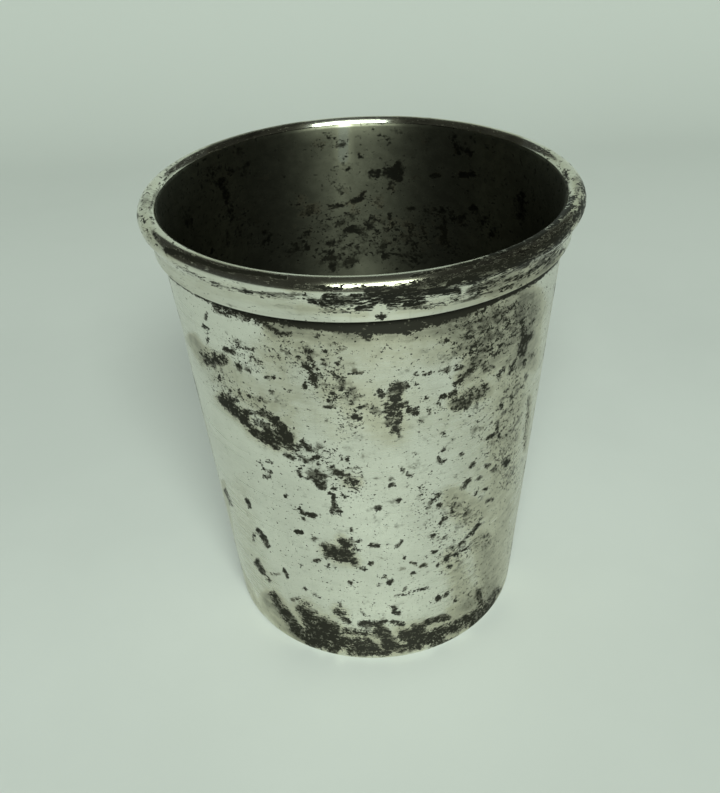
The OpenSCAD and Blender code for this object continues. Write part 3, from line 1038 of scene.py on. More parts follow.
# %% Marks on the right of the wall
RIGHT_MARKS = {
    "right patch": [
        (442, 397, 453, 394, 1, 3.2, 3.4), (453, 392, 456, 390, 0.75, 2.2),
        (460, 398, 474, 392, 0.78, 5.5, 6.5), (454, 401, 468, 403, 0.7, 4.5),
        (453, 409, 466, 407, 0.86, 2.6, 3), (476, 397, 486, 388, 0.76, 4.4, 4.6),
        (480, 385, 485, 386, 0.75, 2.2)],
    "upper arm of the right patch": [
        (453, 383, 460, 382, 0.94, 2.6), (460, 384, 464, 381, 0.76, 2.2, 2.4),
        (462, 376, 467, 374, 0.94, 2.8), (469, 371, 476, 369, 0.76, 2.6), (472, 364, 479, 363, 0.76, 3),
        (456, 369, 462, 366, 0.98, 2.2, 2)],
    "specks above the right patch": [
        (455, 322, 520, 310, 0.53, 11, 13), (470, 338, 520, 330, 0.49, 12, 14),
        (478, 312, 484, 310, 0.8, 2.4), (495, 316, 501, 312, 0.78, 2.6, 2.4),
        (512, 306, 516, 302, 0.8, 2.4, 2.2), (470, 352, 480, 350, 0.88, 2.2),
        (484, 350, 488, 349, 0.95, 2), (473, 359, 476, 358, 0.9, 2.2), (482, 366, 486, 368, 0.8, 2.2),
        (492, 356, 498, 352, 0.8, 2.6, 2.4), (455, 350, 505, 470, 0.36, 26, 24),
        (515, 360, 505, 480, 0.42, 12), (460, 352, 500, 346, 0.48, 11)],
    "slanting dashes above the right patch": [
        (474, 322, 482, 319, 0.85, 2), (480, 328, 487, 326, 0.85, 2), (487, 331, 494, 328, 0.85, 2),
        (495, 322, 501, 319, 0.85, 2), (506, 320, 508, 318, 0.9, 2.2, 2),
        (506, 328, 507, 326, 0.85, 2.2, 2), (468, 331, 470, 331, 0.88, 2), (470, 337, 472, 337, 0.82, 2),
        (497, 339, 503, 336, 0.82, 2), (472, 346, 479, 343, 0.85, 2),
        (499, 347, 503, 344, 0.92, 2.4, 2.2), (508, 344, 511, 342, 0.66, 2.6, 2.4),
        (498, 376, 499, 374, 0.85, 2.2), (502, 372, 504, 370, 0.8, 2), (509, 374, 512, 366, 0.8, 2),
        (513, 366, 515, 360, 0.84, 2.4, 2.2), (524, 365, 525, 360, 0.85, 2),
        (525, 380, 526, 375, 0.72, 2), (530, 358, 534, 353, 0.66, 2), (530, 324, 535, 319, 0.7, 2),
        (529, 339, 531, 334, 0.92, 2.6, 2.4), (484, 358, 492, 372, 0.48, 7, 6)],
    "far right upright patch": [
        (523, 322, 525, 338, 0.86, 4, 4.5), (524, 340, 522, 352, 1.02, 4.5, 4),
        (519, 345, 518, 356, 0.6, 2.5)],
    "right streaks": [
        (499, 409, 501, 406, 0.95, 3, 2.4), (497, 421, 498, 429, 0.8, 2.2, 2.5),
        (497, 431, 499, 436, 0.85, 2.4, 2.2), (488, 438, 494, 434, 0.95, 2.6, 2.2),
        (505, 391, 508, 388, 0.9, 2.2, 2), (509, 401, 511, 395, 0.75, 2), (513, 374, 514, 366, 0.65, 2),
        (501, 372, 505, 368, 0.8, 2.2), (498, 377, 499, 380, 0.75, 2.2), (521, 387, 522, 386, 0.85, 2.2),
        (529, 396, 524, 450, 0.62, 2)],
    "right lower spots": [
        (471, 466, 474, 464, 1.1, 2.6, 2.2), (462, 487, 465, 486, 1, 2),
        (465, 483, 470, 479, 0.9, 2.4, 2.2), (486, 466, 489, 465, 1.02, 2.4, 2.2),
        (504, 465, 508, 461, 0.95, 2.8, 2.4), (497, 459, 500, 453, 0.6, 3.5, 3),
        (493, 470, 497, 466, 0.66, 2.4, 2.2), (461, 454, 462, 454, 0.98, 2.2, 2),
        (441, 451, 444, 449, 0.9, 2.2, 2), (438, 458, 440, 460, 1, 2.2), (440, 463, 446, 460, 0.82, 2),
        (478, 479, 481, 476, 0.75, 2.2, 2), (484, 489, 487, 489, 0.88, 2.2),
        (402, 469, 404, 470, 0.92, 2), (408, 475, 410, 476, 1.02, 2.2), (390, 486, 393, 485, 1.12, 2.2),
        (437, 496, 439, 495, 1.05, 2.2)],
}
print("right of the wall:", count_strokes(RIGHT_MARKS), "strokes")

# %% Marks on the lower wall
LOWER_MARKS = {
    "lower right specks": [
        (399, 500, 399, 501, 1.08, 2.2), (377, 508, 380, 508, 1.2, 2.6, 2.4),
        (430, 503, 436, 500, 0.85, 2.2, 2), (438, 506, 441, 504, 1, 2.2),
        (444, 518, 446, 517, 0.95, 2.2, 2), (440, 524, 442, 520, 0.85, 2.2, 2),
        (452, 509, 452, 513, 0.85, 2.2), (455, 505, 462, 506, 0.55, 3), (464, 517, 466, 513, 0.75, 2.2),
        (466, 511, 468, 506, 0.55, 3), (487, 501, 492, 499, 0.88, 2.2, 2),
        (475, 494, 478, 491, 0.66, 2.2, 2), (481, 517, 482, 515, 0.85, 2.2, 2),
        (432, 536, 435, 534, 0.9, 2.2, 2), (445, 537, 447, 536, 0.9, 2),
        (420, 495, 470, 590, 0.33, 26, 24), (425, 494, 472, 520, 0.42, 12, 14),
        (440, 556, 486, 540, 0.42, 10, 12)],
    "slanting scratch": [
        (452, 548, 462, 542, 0.6, 2), (462, 542, 472, 533, 0.92, 2), (472, 533, 479, 524, 1.1, 2, 2.2)],
    "lower right dots": [
        (433, 552, 436, 551, 1.05, 2.2, 2), (445, 560, 448, 558, 1.02, 2.8, 2.6),
        (450, 555, 458, 553, 0.74, 3, 3.4), (463, 550, 465, 549, 1, 2.4, 2.2),
        (437, 565, 439, 564, 0.82, 2.4, 2.2), (449, 567, 452, 566, 0.9, 2.2),
        (420, 567, 425, 565, 0.82, 2), (411, 562, 416, 565, 0.7, 2.2), (412, 574, 415, 573, 0.98, 2.2, 2),
        (404, 558, 404, 559, 1, 2.2, 2), (397, 547, 399, 545, 0.92, 2.4, 2.2),
        (402, 541, 402, 542, 0.9, 2), (371, 545, 378, 546, 1.1, 2.8, 2.4),
        (389, 583, 391, 581, 1.2, 2.8, 2.4), (384, 578, 386, 577, 0.7, 2.2, 2),
        (377, 585, 379, 587, 0.82, 2), (404, 590, 406, 588, 0.85, 2), (418, 590, 427, 588, 0.82, 2),
        (395, 597, 413, 592, 0.74, 2), (437, 599, 439, 597, 1.12, 2.8, 2.4),
        (445, 595, 447, 594, 0.85, 2.2, 2), (455, 601, 457, 600, 0.9, 2.2, 2)],
    "lower left marks": [
        (285, 496, 286, 496, 0.9, 2), (225, 490, 232, 505, 0.7, 2), (247, 500, 250, 507, 1, 2),
        (300, 508, 303, 514, 0.95, 2.2, 2), (294, 509, 297, 510, 0.9, 2),
        (307, 514, 314, 516, 1.25, 2.2, 2.6), (303, 518, 304, 519, 0.88, 2),
        (296, 531, 302, 533, 1.25, 2.4, 2.2)],
    "low patch": [
        (322, 545, 334, 550, 0.98, 3, 4), (328, 550, 346, 555, 1.12, 5.5, 6.5),
        (336, 557, 354, 561, 1.04, 4.4), (341, 541, 347, 546, 0.95, 4),
        (351, 540, 360, 541, 0.88, 2.6, 2.2), (352, 546, 357, 550, 0.85, 3.4, 3),
        (348, 551, 354, 553, 0.82, 2.6, 2.4), (324, 556, 340, 560, 0.6, 2.5)],
    "small marks round the low patch": [
        (314, 560, 320, 561, 1, 2), (361, 568, 365, 569, 1.15, 2.4, 2.2), (357, 565, 359, 566, 0.82, 2),
        (369, 564, 373, 563, 0.92, 2), (328, 565, 328, 566, 0.8, 2), (351, 529, 352, 531, 0.8, 2),
        (313, 538, 315, 538, 0.62, 2), (300, 564, 301, 566, 0.68, 2)],
    "left streaks": [
        (258, 530, 264, 538, 0.98, 2.4, 3), (264, 538, 268, 546, 0.98, 3, 2.4),
        (254, 534, 254, 540, 0.7, 2), (257, 562, 263, 572, 1.02, 3.2, 2.6), (264, 573, 270, 581, 0.75, 2),
        (271, 574, 280, 574, 0.58, 2.2, 2), (284, 570, 288, 577, 0.9, 2)],
    "marks above the foot": [
        (303, 588, 308, 590, 0.78, 2), (311, 592, 319, 598, 0.8, 2, 2.2), (293, 599, 299, 598, 0.68, 2.2),
        (303, 601, 309, 604, 0.75, 2.2), (349, 582, 351, 583, 1, 2.2, 2)],
}
print("lower wall:", count_strokes(LOWER_MARKS), "strokes")

# %% Marks round the foot
FOOT_MARKS = {
    "left stripe": [
        (272, 594, 284, 612, 0.9, 3.6, 5), (284, 612, 297, 629, 0.95, 5.4),
        (295, 628, 312, 643, 0.95, 5.6, 6)],
    "left mass": [
        (302, 608, 310, 616, 0.84, 6, 7.5), (308, 618, 320, 628, 0.92, 8, 9),
        (312, 632, 332, 636, 1.08, 9, 10), (318, 642, 336, 648, 1, 6), (322, 622, 335, 630, 0.86, 6, 7)],
    "spots above the middle": [
        (336, 611, 343, 614, 0.82, 4), (345, 620, 349, 622, 1, 3), (360, 623, 380, 624, 1.02, 3.4),
        (381, 622, 386, 621, 0.88, 2.4, 2.2), (392, 607, 396, 608, 0.9, 2.6),
        (394, 612, 399, 613, 1.1, 3), (361, 610, 366, 617, 0.62, 2.2), (343, 631, 376, 633, 0.78, 4.4),
        (392, 622, 403, 624, 0.92, 2.8, 2.6), (340, 602, 341, 606, 0.65, 2)],
    "middle mass": [
        (338, 641, 370, 646, 1.02, 7, 7.5), (350, 651, 388, 652, 0.95, 5), (380, 630, 390, 642, 1, 6, 7),
        (386, 646, 402, 648, 0.94, 5)],
    "right mass": [
        (404, 636, 420, 632, 1.02, 6.5, 7), (410, 642, 438, 637, 1.06, 6.5, 7),
        (428, 622, 447, 617, 0.95, 3.8, 3.6), (414, 627, 422, 628, 0.92, 4),
        (436, 632, 450, 628, 0.92, 5), (402, 648, 420, 646, 0.82, 4)],
    "right tail": [
        (450, 629, 470, 619, 0.9, 6), (468, 620, 484, 606, 0.84, 5.5), (472, 626, 494, 604, 0.84, 4.5),
        (430, 648, 470, 634, 0.74, 3)],
    "far right": [(479, 592, 480, 602, 0.9, 3, 3.4), (486, 608, 498, 590, 0.76, 4.5, 4)],
}
WALL_MARKS = (UPPER_MARKS, SMEAR_MARKS, MIDDLE_MARKS, RIGHT_MARKS, LOWER_MARKS, FOOT_MARKS)
print("foot:", count_strokes(FOOT_MARKS), "strokes, wall:", sum(map(count_strokes, WALL_MARKS)))

# %% [markdown]
# ## Haze, and the brush that paints it
# Between the black marks the plate is dull in soft patches, mostly under the collar and on the right.
# On the right side, at the left dent and along the left outline, the haze is also painted shade: it
# stands in for the darker surroundings that the metal mirrors there.
# Haze is painted with strokes too, only wider, and its number says how dull the silver gets. Tarnish
# starts as a smoky film before it turns black, so every large black mark also gets a ring of haze.
# One brush serves for both. Its strokes are soft at the edge, and where several meet, the strongest
# counts most, which a plain sum of them wouldn't give.

# %% Haze on the wall
WALL_HAZE_AND_SHADE = {
    # Partly painted shade: the dent mirrors its surroundings darker
    "left dent": [(192, 338, 203, 356, 0.66, 5, 6), (204, 352, 222, 362, 0.34, 7, 6)],
    "above the smear": [(222, 372, 268, 404, 0.3, 14, 12), (240, 396, 272, 408, 0.34, 9, 8)],
    "under the collar": [
        (276, 328, 350, 333, 0.7, 12), (268, 322, 300, 342, 0.34, 8, 12),
        (350, 333, 455, 328, 0.76, 11, 12)],
    "upper wall": [
        (270, 352, 440, 350, 0.3, 18), (335, 385, 390, 425, 0.36, 22), (445, 340, 470, 356, 0.3, 14),
        (300, 400, 340, 430, 0.2, 18, 16)],
    "middle": [(370, 372, 452, 428, 0.17, 26, 24), (370, 450, 450, 530, 0.08, 30)],
    "upper right": [
        (462, 324, 528, 306, 0.84, 13, 15), (466, 342, 516, 336, 0.72, 13, 17),
        (474, 358, 505, 354, 0.66, 11, 12), (528, 298, 525, 360, 0.96, 13, 12),
        (470, 376, 490, 370, 0.46, 9)],
    "right patch": [(455, 402, 485, 388, 0.66, 9), (462, 380, 480, 366, 0.6, 8, 10)],
    # Partly painted shade: the right side is darker where the metal mirrors darker surroundings
    "right side": [
        (514, 358, 506, 440, 0.46, 18, 15), (503, 440, 494, 590, 0.42, 16, 15),
        (512, 330, 488, 600, 0.22, 40)],
    "right outline": [(530, 396, 525, 450, 0.5, 2.5), (509, 505, 500, 545, 0.4, 3)],
    # Partly painted shade, as on the right side above
    "lower right": [
        (484, 540, 491, 600, 0.64, 12, 10), (468, 604, 492, 590, 0.66, 11, 10),
        (452, 560, 470, 615, 0.38, 12), (455, 612, 485, 604, 0.52, 9)],
    "left flank": [(238, 490, 262, 600, 0.17, 13, 12), (258, 562, 274, 590, 0.18, 8)],
    # Painted shade: a dark line where the left outline mirrors darker surroundings
    "left outline": [(223, 482, 236, 560, 0.42, 2.5, 2.8), (236, 560, 262, 614, 0.42, 2.8)],
    "brown patch": [(455, 500, 478, 510, 0.44, 14, 12), (455, 512, 470, 522, 0.36, 10, 9)],
    "foot": [
        (270, 600, 302, 640, 0.78, 10), (302, 612, 338, 640, 0.44, 13, 14),
        (338, 640, 400, 648, 0.52, 12, 10), (400, 636, 450, 628, 0.42, 13, 12),
        (450, 629, 494, 602, 0.64, 9, 8)],
    "left of the slanting streak": [(280, 372, 288, 430, 0.27, 17, 15)],
}
print("haze on the wall:", count_strokes(WALL_HAZE_AND_SHADE), "strokes")

# %% The brush
STROKE_CORE = 0.25
STROKE_EDGE = 1.75
BLEND_POWER = 4
RING_W = 3.0
RING_SHARE = 0.36
RING_DARK = 0.8
RING_LEAST_W = 3.9


def soft_step(start, end, value):
    """A smooth rise from 0 at the start to 1 at the end, which may be the lower of the two."""
    share = np.clip((value - start) / (end - start), 0, 1)
    return share * share * (3 - 2 * share)


def brush(pixels, stroke):
    """How much of a stroke covers each pixel, from 0 to its blackness."""
    x, y, to_x, to_y, blackness, *widths = stroke
    way = np.array([to_x - x, to_y - y])
    from_start = pixels - (x, y)
    share = np.clip((from_start @ way) / (way @ way), 0, 1)
    apart = np.linalg.norm(from_start - share[:, None] * way, axis=1)
    wide = widths[0] + (widths[-1] - widths[0]) * share
    return blackness * (1 - soft_step(STROKE_CORE, STROKE_EDGE, apart / wide))


def brush_all(pixels, marks):
    """All the strokes of all the marks together: the blackest counts most, and overlaps add a little."""
    total = np.zeros(len(pixels))
    for strokes in marks.values():
        for stroke in strokes:
            total += brush(pixels, stroke) ** BLEND_POWER
    return total ** (1 / BLEND_POWER)


def smoky_rings(marks):
    """A wider, fainter stroke round every large dark one."""
    rings = []
    for strokes in marks.values():
        for x, y, to_x, to_y, blackness, *widths in strokes:
            if blackness > RING_DARK and min(widths) > RING_LEAST_W:
                rings.append((x, y, to_x, to_y, RING_SHARE, *(w + RING_W for w in widths)))
    return {"rings": rings}


print("smoky rings on the wall:", sum(count_strokes(smoky_rings(marks)) for marks in WALL_MARKS))

# %% [markdown]
# ## Marks that the picture doesn't show
# The back, the far sides and the low inside are as worn as the front, but no picture shows how. They
# get strokes of the same kind from a seeded draw, so no side is left clean, and every run draws the same
# marks. The wall is unrolled for this: on the flat, a stroke keeps its shape all the way round.

# %% Marks drawn by a seeded hand
BACK_SEED = 7
HALF_ROUND = 110
SHORTEST = 1.0
NARROWEST = 0.4
WIDTH_SHARES = (0.3, 1.0)
END_SHARES = (0.6, 1.1)
DRAWN_BLACKNESS = (0.35, 1.0)
WAVE_HEIGHTS = (0.5, 1.0)


def drawn_strokes(count, low, high, seed, widest=5.0, steepest=math.pi, longest=9.0):
    """Random strokes in millimetres: x runs round the wall from the front, y is the height."""
    draw = np.random.default_rng(seed)
    strokes = []
    for _ in range(count):
        x = draw.uniform(-HALF_ROUND, HALF_ROUND)
        y = draw.uniform(low, high)
        slope = draw.uniform(0, steepest)
        length = draw.uniform(SHORTEST, longest)
        wide = draw.uniform(NARROWEST, widest) * draw.uniform(*WIDTH_SHARES)
        end_wide = wide * draw.uniform(*END_SHARES)
        blackness = draw.uniform(*DRAWN_BLACKNESS)
        to_x = x + length * math.cos(slope)
        to_y = y + length * math.sin(slope)
        strokes.append((x, y, to_x, to_y, blackness, wide, end_wide))
    return {"drawn": strokes}


def unrolled(points):
    """Points of the wall laid flat, in millimetres: distance round from the front, and height."""
    around = np.radians(turn_of(points)) * radius_of(points)
    return np.stack([around, points[:, 2]], axis=1) / MM


def waves(turns, seed, count=7):
    """A smooth uneven ring: a few sine waves round the axis, mostly between -1 and 1."""
    draw = np.random.default_rng(seed)
    total = np.zeros(len(turns))
    for n in range(1, count):
        wave = np.sin(np.radians(turns) * n + draw.uniform(0, math.tau))
        total += wave * draw.uniform(*WAVE_HEIGHTS)
    return total / (count / 2)


# %% Which points face the camera, and how a piece takes paint
GRAZING = (0.02, 0.12)


def seen_share(piece):
    """1 where a surface faces the camera, falling to 0 where it turns away."""
    normals = read_vectors(piece.data.vertex_normals, "vector")
    towards = np.array(EYE) - mesh_points(piece)
    towards /= np.linalg.norm(towards, axis=1)[:, None]
    return soft_step(*GRAZING, np.sum(towards * normals, axis=1))


def paint(piece, name, values, most=1.0):
    """Stores one number for each point of the mesh, for the shader to read."""
    layer = piece.data.attributes.new(name, "FLOAT", "POINT")
    layer.data.foreach_set("value", np.clip(values, 0, most).astype(np.float32))
    print(piece.name, name, "mean", round(float(np.mean(values)), 3))


print(round(100 * float(np.mean(seen_share(wall)))), "% of the wall's points face the camera")

# %% [markdown]
# ## The inside of the wall
# A cloth seldom reaches inside a tumbler, so the plate there is grey with haze. Liquid has left round
# black spots and soft clouds on it. The upright streak at the back, where the lamp's reflection runs, is
# a painted highlight, with a few fainter ones near it: the haze lies over everything and is taken out
# there, so that one attribute holds both.

# %% Marks inside the mouth
INSIDE_MARKS = {
    "large spot": [
        (388, 171, 400, 171, 1.3, 4.5), (398, 165, 402, 163, 1.2, 3.5, 3),
        (392, 174, 399, 180, 1.3, 4.5, 4), (390, 186, 393, 192, 0.95, 3)],
    "spot beside it": [(372, 173, 378, 175, 1.35, 4, 3.6)],
    "dashes": [
        (332, 206, 340, 205, 1.35, 3.4, 3), (354, 201, 361, 198, 1.35, 3.2, 2.8),
        (346, 204, 350, 202, 0.8, 1.8)],
    "right spots": [
        (432, 176, 437, 175, 1.2, 3.2, 3), (461, 175, 473, 174, 1.2, 3.4, 3.8),
        (455, 140, 458, 152, 0.78, 4.5), (464, 145, 470, 155, 0.62, 4)],
    "left blots": [
        (210, 175, 220, 182, 0.6, 8), (224, 185, 232, 218, 0.64, 5), (185, 215, 190, 225, 0.56, 6),
        (215, 168, 245, 172, 0.5, 8, 7)],
    "low spot": [(350, 230, 359, 231, 1.35, 4, 3.8), (344, 231, 346, 231, 1.1, 2.8)],
    "scattered spots": [
        (359, 155, 360, 156, 1.15, 2.8), (347, 169, 348, 169, 1.1, 2.6), (363, 192, 364, 193, 1.1, 2.8),
        (307, 248, 308, 249, 1.1, 3.2), (309, 231, 310, 231, 1, 2.6), (266, 242, 268, 242, 1, 2.8),
        (331, 267, 333, 268, 1.2, 3.2), (491, 234, 492, 234, 1.1, 3.2), (415, 243, 417, 243, 1.1, 2.8),
        (389, 216, 393, 226, 0.95, 2.8), (472, 207, 474, 207, 1, 2.8), (410, 208, 412, 208, 1, 2.8),
        (383, 257, 385, 258, 1.1, 3), (212, 250, 213, 251, 1, 3)],
    "low specks": [
        (300, 205, 330, 224, 0.5, 12), (345, 222, 420, 230, 0.54, 12, 18), (300, 242, 440, 245, 0.5, 17),
        (320, 256, 350, 262, 0.58, 9, 8), (385, 250, 415, 258, 0.58, 10), (430, 210, 460, 220, 0.66, 9),
        (440, 228, 455, 250, 0.6, 9), (480, 215, 490, 230, 0.5, 10), (368, 200, 382, 204, 0.6, 5),
        (230, 215, 280, 250, 0.42, 16), (330, 180, 345, 192, 0.44, 7), (520, 195, 522, 215, 0.7, 6)],
    "upper specks": [
        (315, 145, 342, 142, 0.6, 6), (345, 155, 347, 170, 0.6, 3), (380, 135, 390, 140, 0.64, 4),
        (322, 134, 334, 137, 0.66, 3)],
}
# Painted highlight: the haze is taken out where these strokes lie, so the metal shows brighter there
INSIDE_SHEEN = {
    "upright streak at the back": [(344, 124, 343, 158, 0.95, 8), (343, 158, 340, 205, 0.21, 7, 8)],
    "below the back of the lip": [(305, 132, 395, 130, 0.34, 8)],
    "low in the middle": [(362, 267, 369, 272, 0.2, 9)],
    "broad": [(342, 130, 340, 175, 0.14, 24, 20)],
}
print("inside:", count_strokes(INSIDE_MARKS), "strokes, sheen:", count_strokes(INSIDE_SHEEN))

# %% Tarnish, haze and painted sheen inside
INSIDE_DRAWN = dict(count=110, low=4, high=84, seed=BACK_SEED + 4)
INSIDE_TARNISH = 0.20
INSIDE_SWING = 0.07
INSIDE_HAZE = 0.9


def inside_tarnish(points, seen):
    """Marks from the picture near the mouth, drawn marks lower down, and a thin tarnish everywhere."""
    drawn = np.minimum(brush_all(unrolled(points), drawn_strokes(**INSIDE_DRAWN)), 1.0)
    thin = INSIDE_TARNISH + INSIDE_SWING * waves(turn_of(points) + points[:, 2] / MM, BACK_SEED + 5)
    return np.maximum(seen * brush_all(picture_pixels(points), INSIDE_MARKS) + (1 - seen) * drawn, thin)


def inside_haze_and_sheen(points, seen):
    """Dull everywhere except for the sheen, a painted highlight where the lamp's streak falls."""
    return INSIDE_HAZE * (1 - seen * brush_all(picture_pixels(points), INSIDE_SHEEN))


print("drawn inside:", INSIDE_DRAWN["count"], "strokes")

# %% [markdown]
# ## The outside of the wall
# The outside takes the marks from the picture in front and the drawn ones behind, over a thin tarnish
# that is heavier on the right. A black line hangs from the skirt's edge: grime where no cloth gets in,
# and painted shade of the narrow gap under the skirt. The camera looks down on that edge, so in front
# the line is measured in the picture, from the edge as it is seen. The foot's corner rubs on what it
# stands on, and stays clean.

# %% Grime and painted shade under the collar
SOLID_BLACK = 1.4
SKIRT_SEEN_TURN = 88
GRIME_AND_SHADE_AT_X = (184, 203, 227, 250, 290, 341, 400, 450, 480, 500, 520, 540, 556)
GRIME_AND_SHADE_THICK = (0.5, 1.5, 3.6, 4.6, 6.5, 9.5, 14, 10, 6, 4.5, 4, 3, 1)
GRIME_AND_SHADE_SOFT = 2.5
BACK_GRIME_AND_SHADE_LOW = 79.2
BACK_GRIME_AND_SHADE_SWING = 0.6
BACK_GRIME_AND_SHADE_WAVES = 24
BACK_GRIME_AND_SHADE_FADE = (-1.6, 0.6)


def grime_and_shade_in_front(points):
    """Grime and painted shade, as seen: a black line from the skirt's edge down, thicker in some places.
    """
    turns = np.radians(np.arange(-SKIRT_SEEN_TURN, SKIRT_SEEN_TURN + 1))
    level = np.full(len(turns), SKIRT_EDGE_Z)
    ring = np.stack([SKIRT_EDGE_R * np.sin(turns), -SKIRT_EDGE_R * np.cos(turns), level], axis=1)
    edge = picture_pixels(ring)
    pixels = picture_pixels(points)
    below = pixels[:, 1] - np.interp(pixels[:, 0], edge[:, 0], edge[:, 1])
    thick = np.interp(pixels[:, 0], GRIME_AND_SHADE_AT_X, GRIME_AND_SHADE_THICK)
    return SOLID_BLACK * (1 - soft_step(thick - GRIME_AND_SHADE_SOFT, thick + GRIME_AND_SHADE_SOFT, below))


def grime_and_shade_behind(points):
    """The same line of grime and painted shade round the back, where its lower edge only wavers."""
    wavering = BACK_GRIME_AND_SHADE_SWING * waves(turn_of(points), BACK_SEED + 3, BACK_GRIME_AND_SHADE_WAVES)
    return soft_step(*BACK_GRIME_AND_SHADE_FADE, points[:, 2] / MM - BACK_GRIME_AND_SHADE_LOW - wavering)


# The line under the skirt is grime and painted shade together
print("grime hangs up to", max(GRIME_AND_SHADE_THICK), "pixels down from the skirt's edge")

# %% Tarnish, haze and painted shade outside
DRAWN_BEHIND = {
    # How much of it counts, and what the seeded hand draws
    "marks": (1.0, dict(count=130, low=6, high=76, seed=BACK_SEED, longest=7.0)),
    "dots": (1.0, dict(count=330, low=4, high=78, seed=BACK_SEED + 11, widest=1.5, longest=1.6)),
    "faint fields": (0.5, dict(count=26, low=4, high=78, seed=BACK_SEED + 12, widest=14.0)),
    "grime round the foot": (1.0, dict(count=60, low=0, high=7.0, seed=BACK_SEED + 1)),
}
HAZE_BEHIND = (0.4, dict(count=30, low=4, high=76, seed=BACK_SEED + 6, widest=9.0))
MARKS_MOST = 1.1
THIN_TARNISH = 0.10
RIGHT_TARNISH = 0.10
RIGHT_FROM = (-50, -10)
THIN_SWING = 0.07
THIN_SLANT = 2.2
# Behind, the right side's haze also stands in for painted shade, as it does in front
RIGHT_HAZE_AND_SHADE = 0.36
LEFT_HAZE = 0.16
SIDE_FADE = (150, 70)
RUBBED_FOOT = (0.25, 0.9)


def brush_drawn(points, share, how):
    """What the seeded hand draws on the unrolled wall."""
    return share * brush_all(unrolled(points), drawn_strokes(**how))


def outside_tarnish_and_shade(points, seen):
    """Marks in front and behind, thin tarnish between them, and grime and painted shade under the collar.
    """
    height = points[:, 2] / MM
    turns = turn_of(points)
    pixels = picture_pixels(points)
    front = np.max([brush_all(pixels, marks) for marks in WALL_MARKS], axis=0)
    behind = np.max([brush_drawn(points, *drawn) for drawn in DRAWN_BEHIND.values()], axis=0)
    marks = np.minimum(seen * front + (1 - seen) * behind, MARKS_MOST)
    thin = THIN_TARNISH + RIGHT_TARNISH * soft_step(*RIGHT_FROM, turns)
    thin += THIN_SWING * waves(turns + THIN_SLANT * height, BACK_SEED + 2)
    # Grime and painted shade: the black line under the skirt's edge
    grime = seen * grime_and_shade_in_front(points) + (1 - seen) * grime_and_shade_behind(points)
    return soft_step(*RUBBED_FOOT, height) * np.max([marks, thin, grime], axis=0)


def outside_haze_and_shade(points, seen):
    """Haze and smoky rings from the picture in front, drawn haze behind, and dull sides, partly painted
    shade on the right.
    """
    turns = turn_of(points)
    pixels = picture_pixels(points)
    rings = np.max([brush_all(pixels, smoky_rings(marks)) for marks in WALL_MARKS], axis=0)
    front = np.maximum(brush_all(pixels, WALL_HAZE_AND_SHADE), rings)
    sides = np.where(turns > 0, RIGHT_HAZE_AND_SHADE, LEFT_HAZE) * soft_step(*SIDE_FADE, np.abs(turns))
    haze_shade_and_sheen = seen * front + (1 - seen) * np.maximum(brush_drawn(points, *HAZE_BEHIND), sides)
    return haze_shade_and_sheen * soft_step(*RUBBED_FOOT, points[:, 2] / MM)


print("drawn behind:", sum(how["count"] for share, how in DRAWN_BEHIND.values()), "strokes")

# %% Paint the wall
SKIN_MARGIN = 0.1 * MM


def wall_inside(points, margin=0.0):
    """True on the inner skin of the wall, nearer to the axis than the middle of the sheet."""
    middle = wall_outer(points[:, 2]) - SHEET_T / 2
    return (radius_of(points) < middle - margin) & (points[:, 2] > FLOOR_LOW_Z)


def paint_wall():
    """Paints both skins of the wall."""
    points = mesh_points(wall)
    seen = seen_share(wall)
    inside = wall_inside(points, SKIN_MARGIN)
    tarnish_and_shade = np.where(inside, inside_tarnish(points, seen), outside_tarnish_and_shade(points, seen))
    paint(wall, "tarnish_and_shade", tarnish_and_shade, SOLID_BLACK)
    paint(wall, "haze_shade_and_sheen", np.where(inside, inside_haze_and_sheen(points, seen), outside_haze_and_shade(points, seen)))
    paint(wall, "polish", np.zeros(len(points)))


def line_the_inside():
    """Gives the faces on the inside of the wall their own dull plate."""
    wall.data.materials.append(INSIDE_PLATE)
    inside = wall_inside(read_vectors(wall.data.polygons, "center"))
    wall.data.polygons.foreach_set("material_index", inside.astype(np.int32))
    print(int(inside.sum()), "faces of the wall lie inside")


paint_wall()
line_the_inside()

# %% [markdown]
# ## The collar
# Hands and cloths rub the collar most. Its lip is bright and smooth, while dirt stays in level dashes
# on the flare below it and in a black patch in front. Along the lip's inner edge the black is painted
# shade: it narrows the paper's pale reflection to a thin line and darkens the lip where it mirrors dim
# surroundings. Haze on the far lip is painted shade of the same kind. Behind, the seeded hand draws
# nearly level strokes, because that is how a cloth goes round a rim.

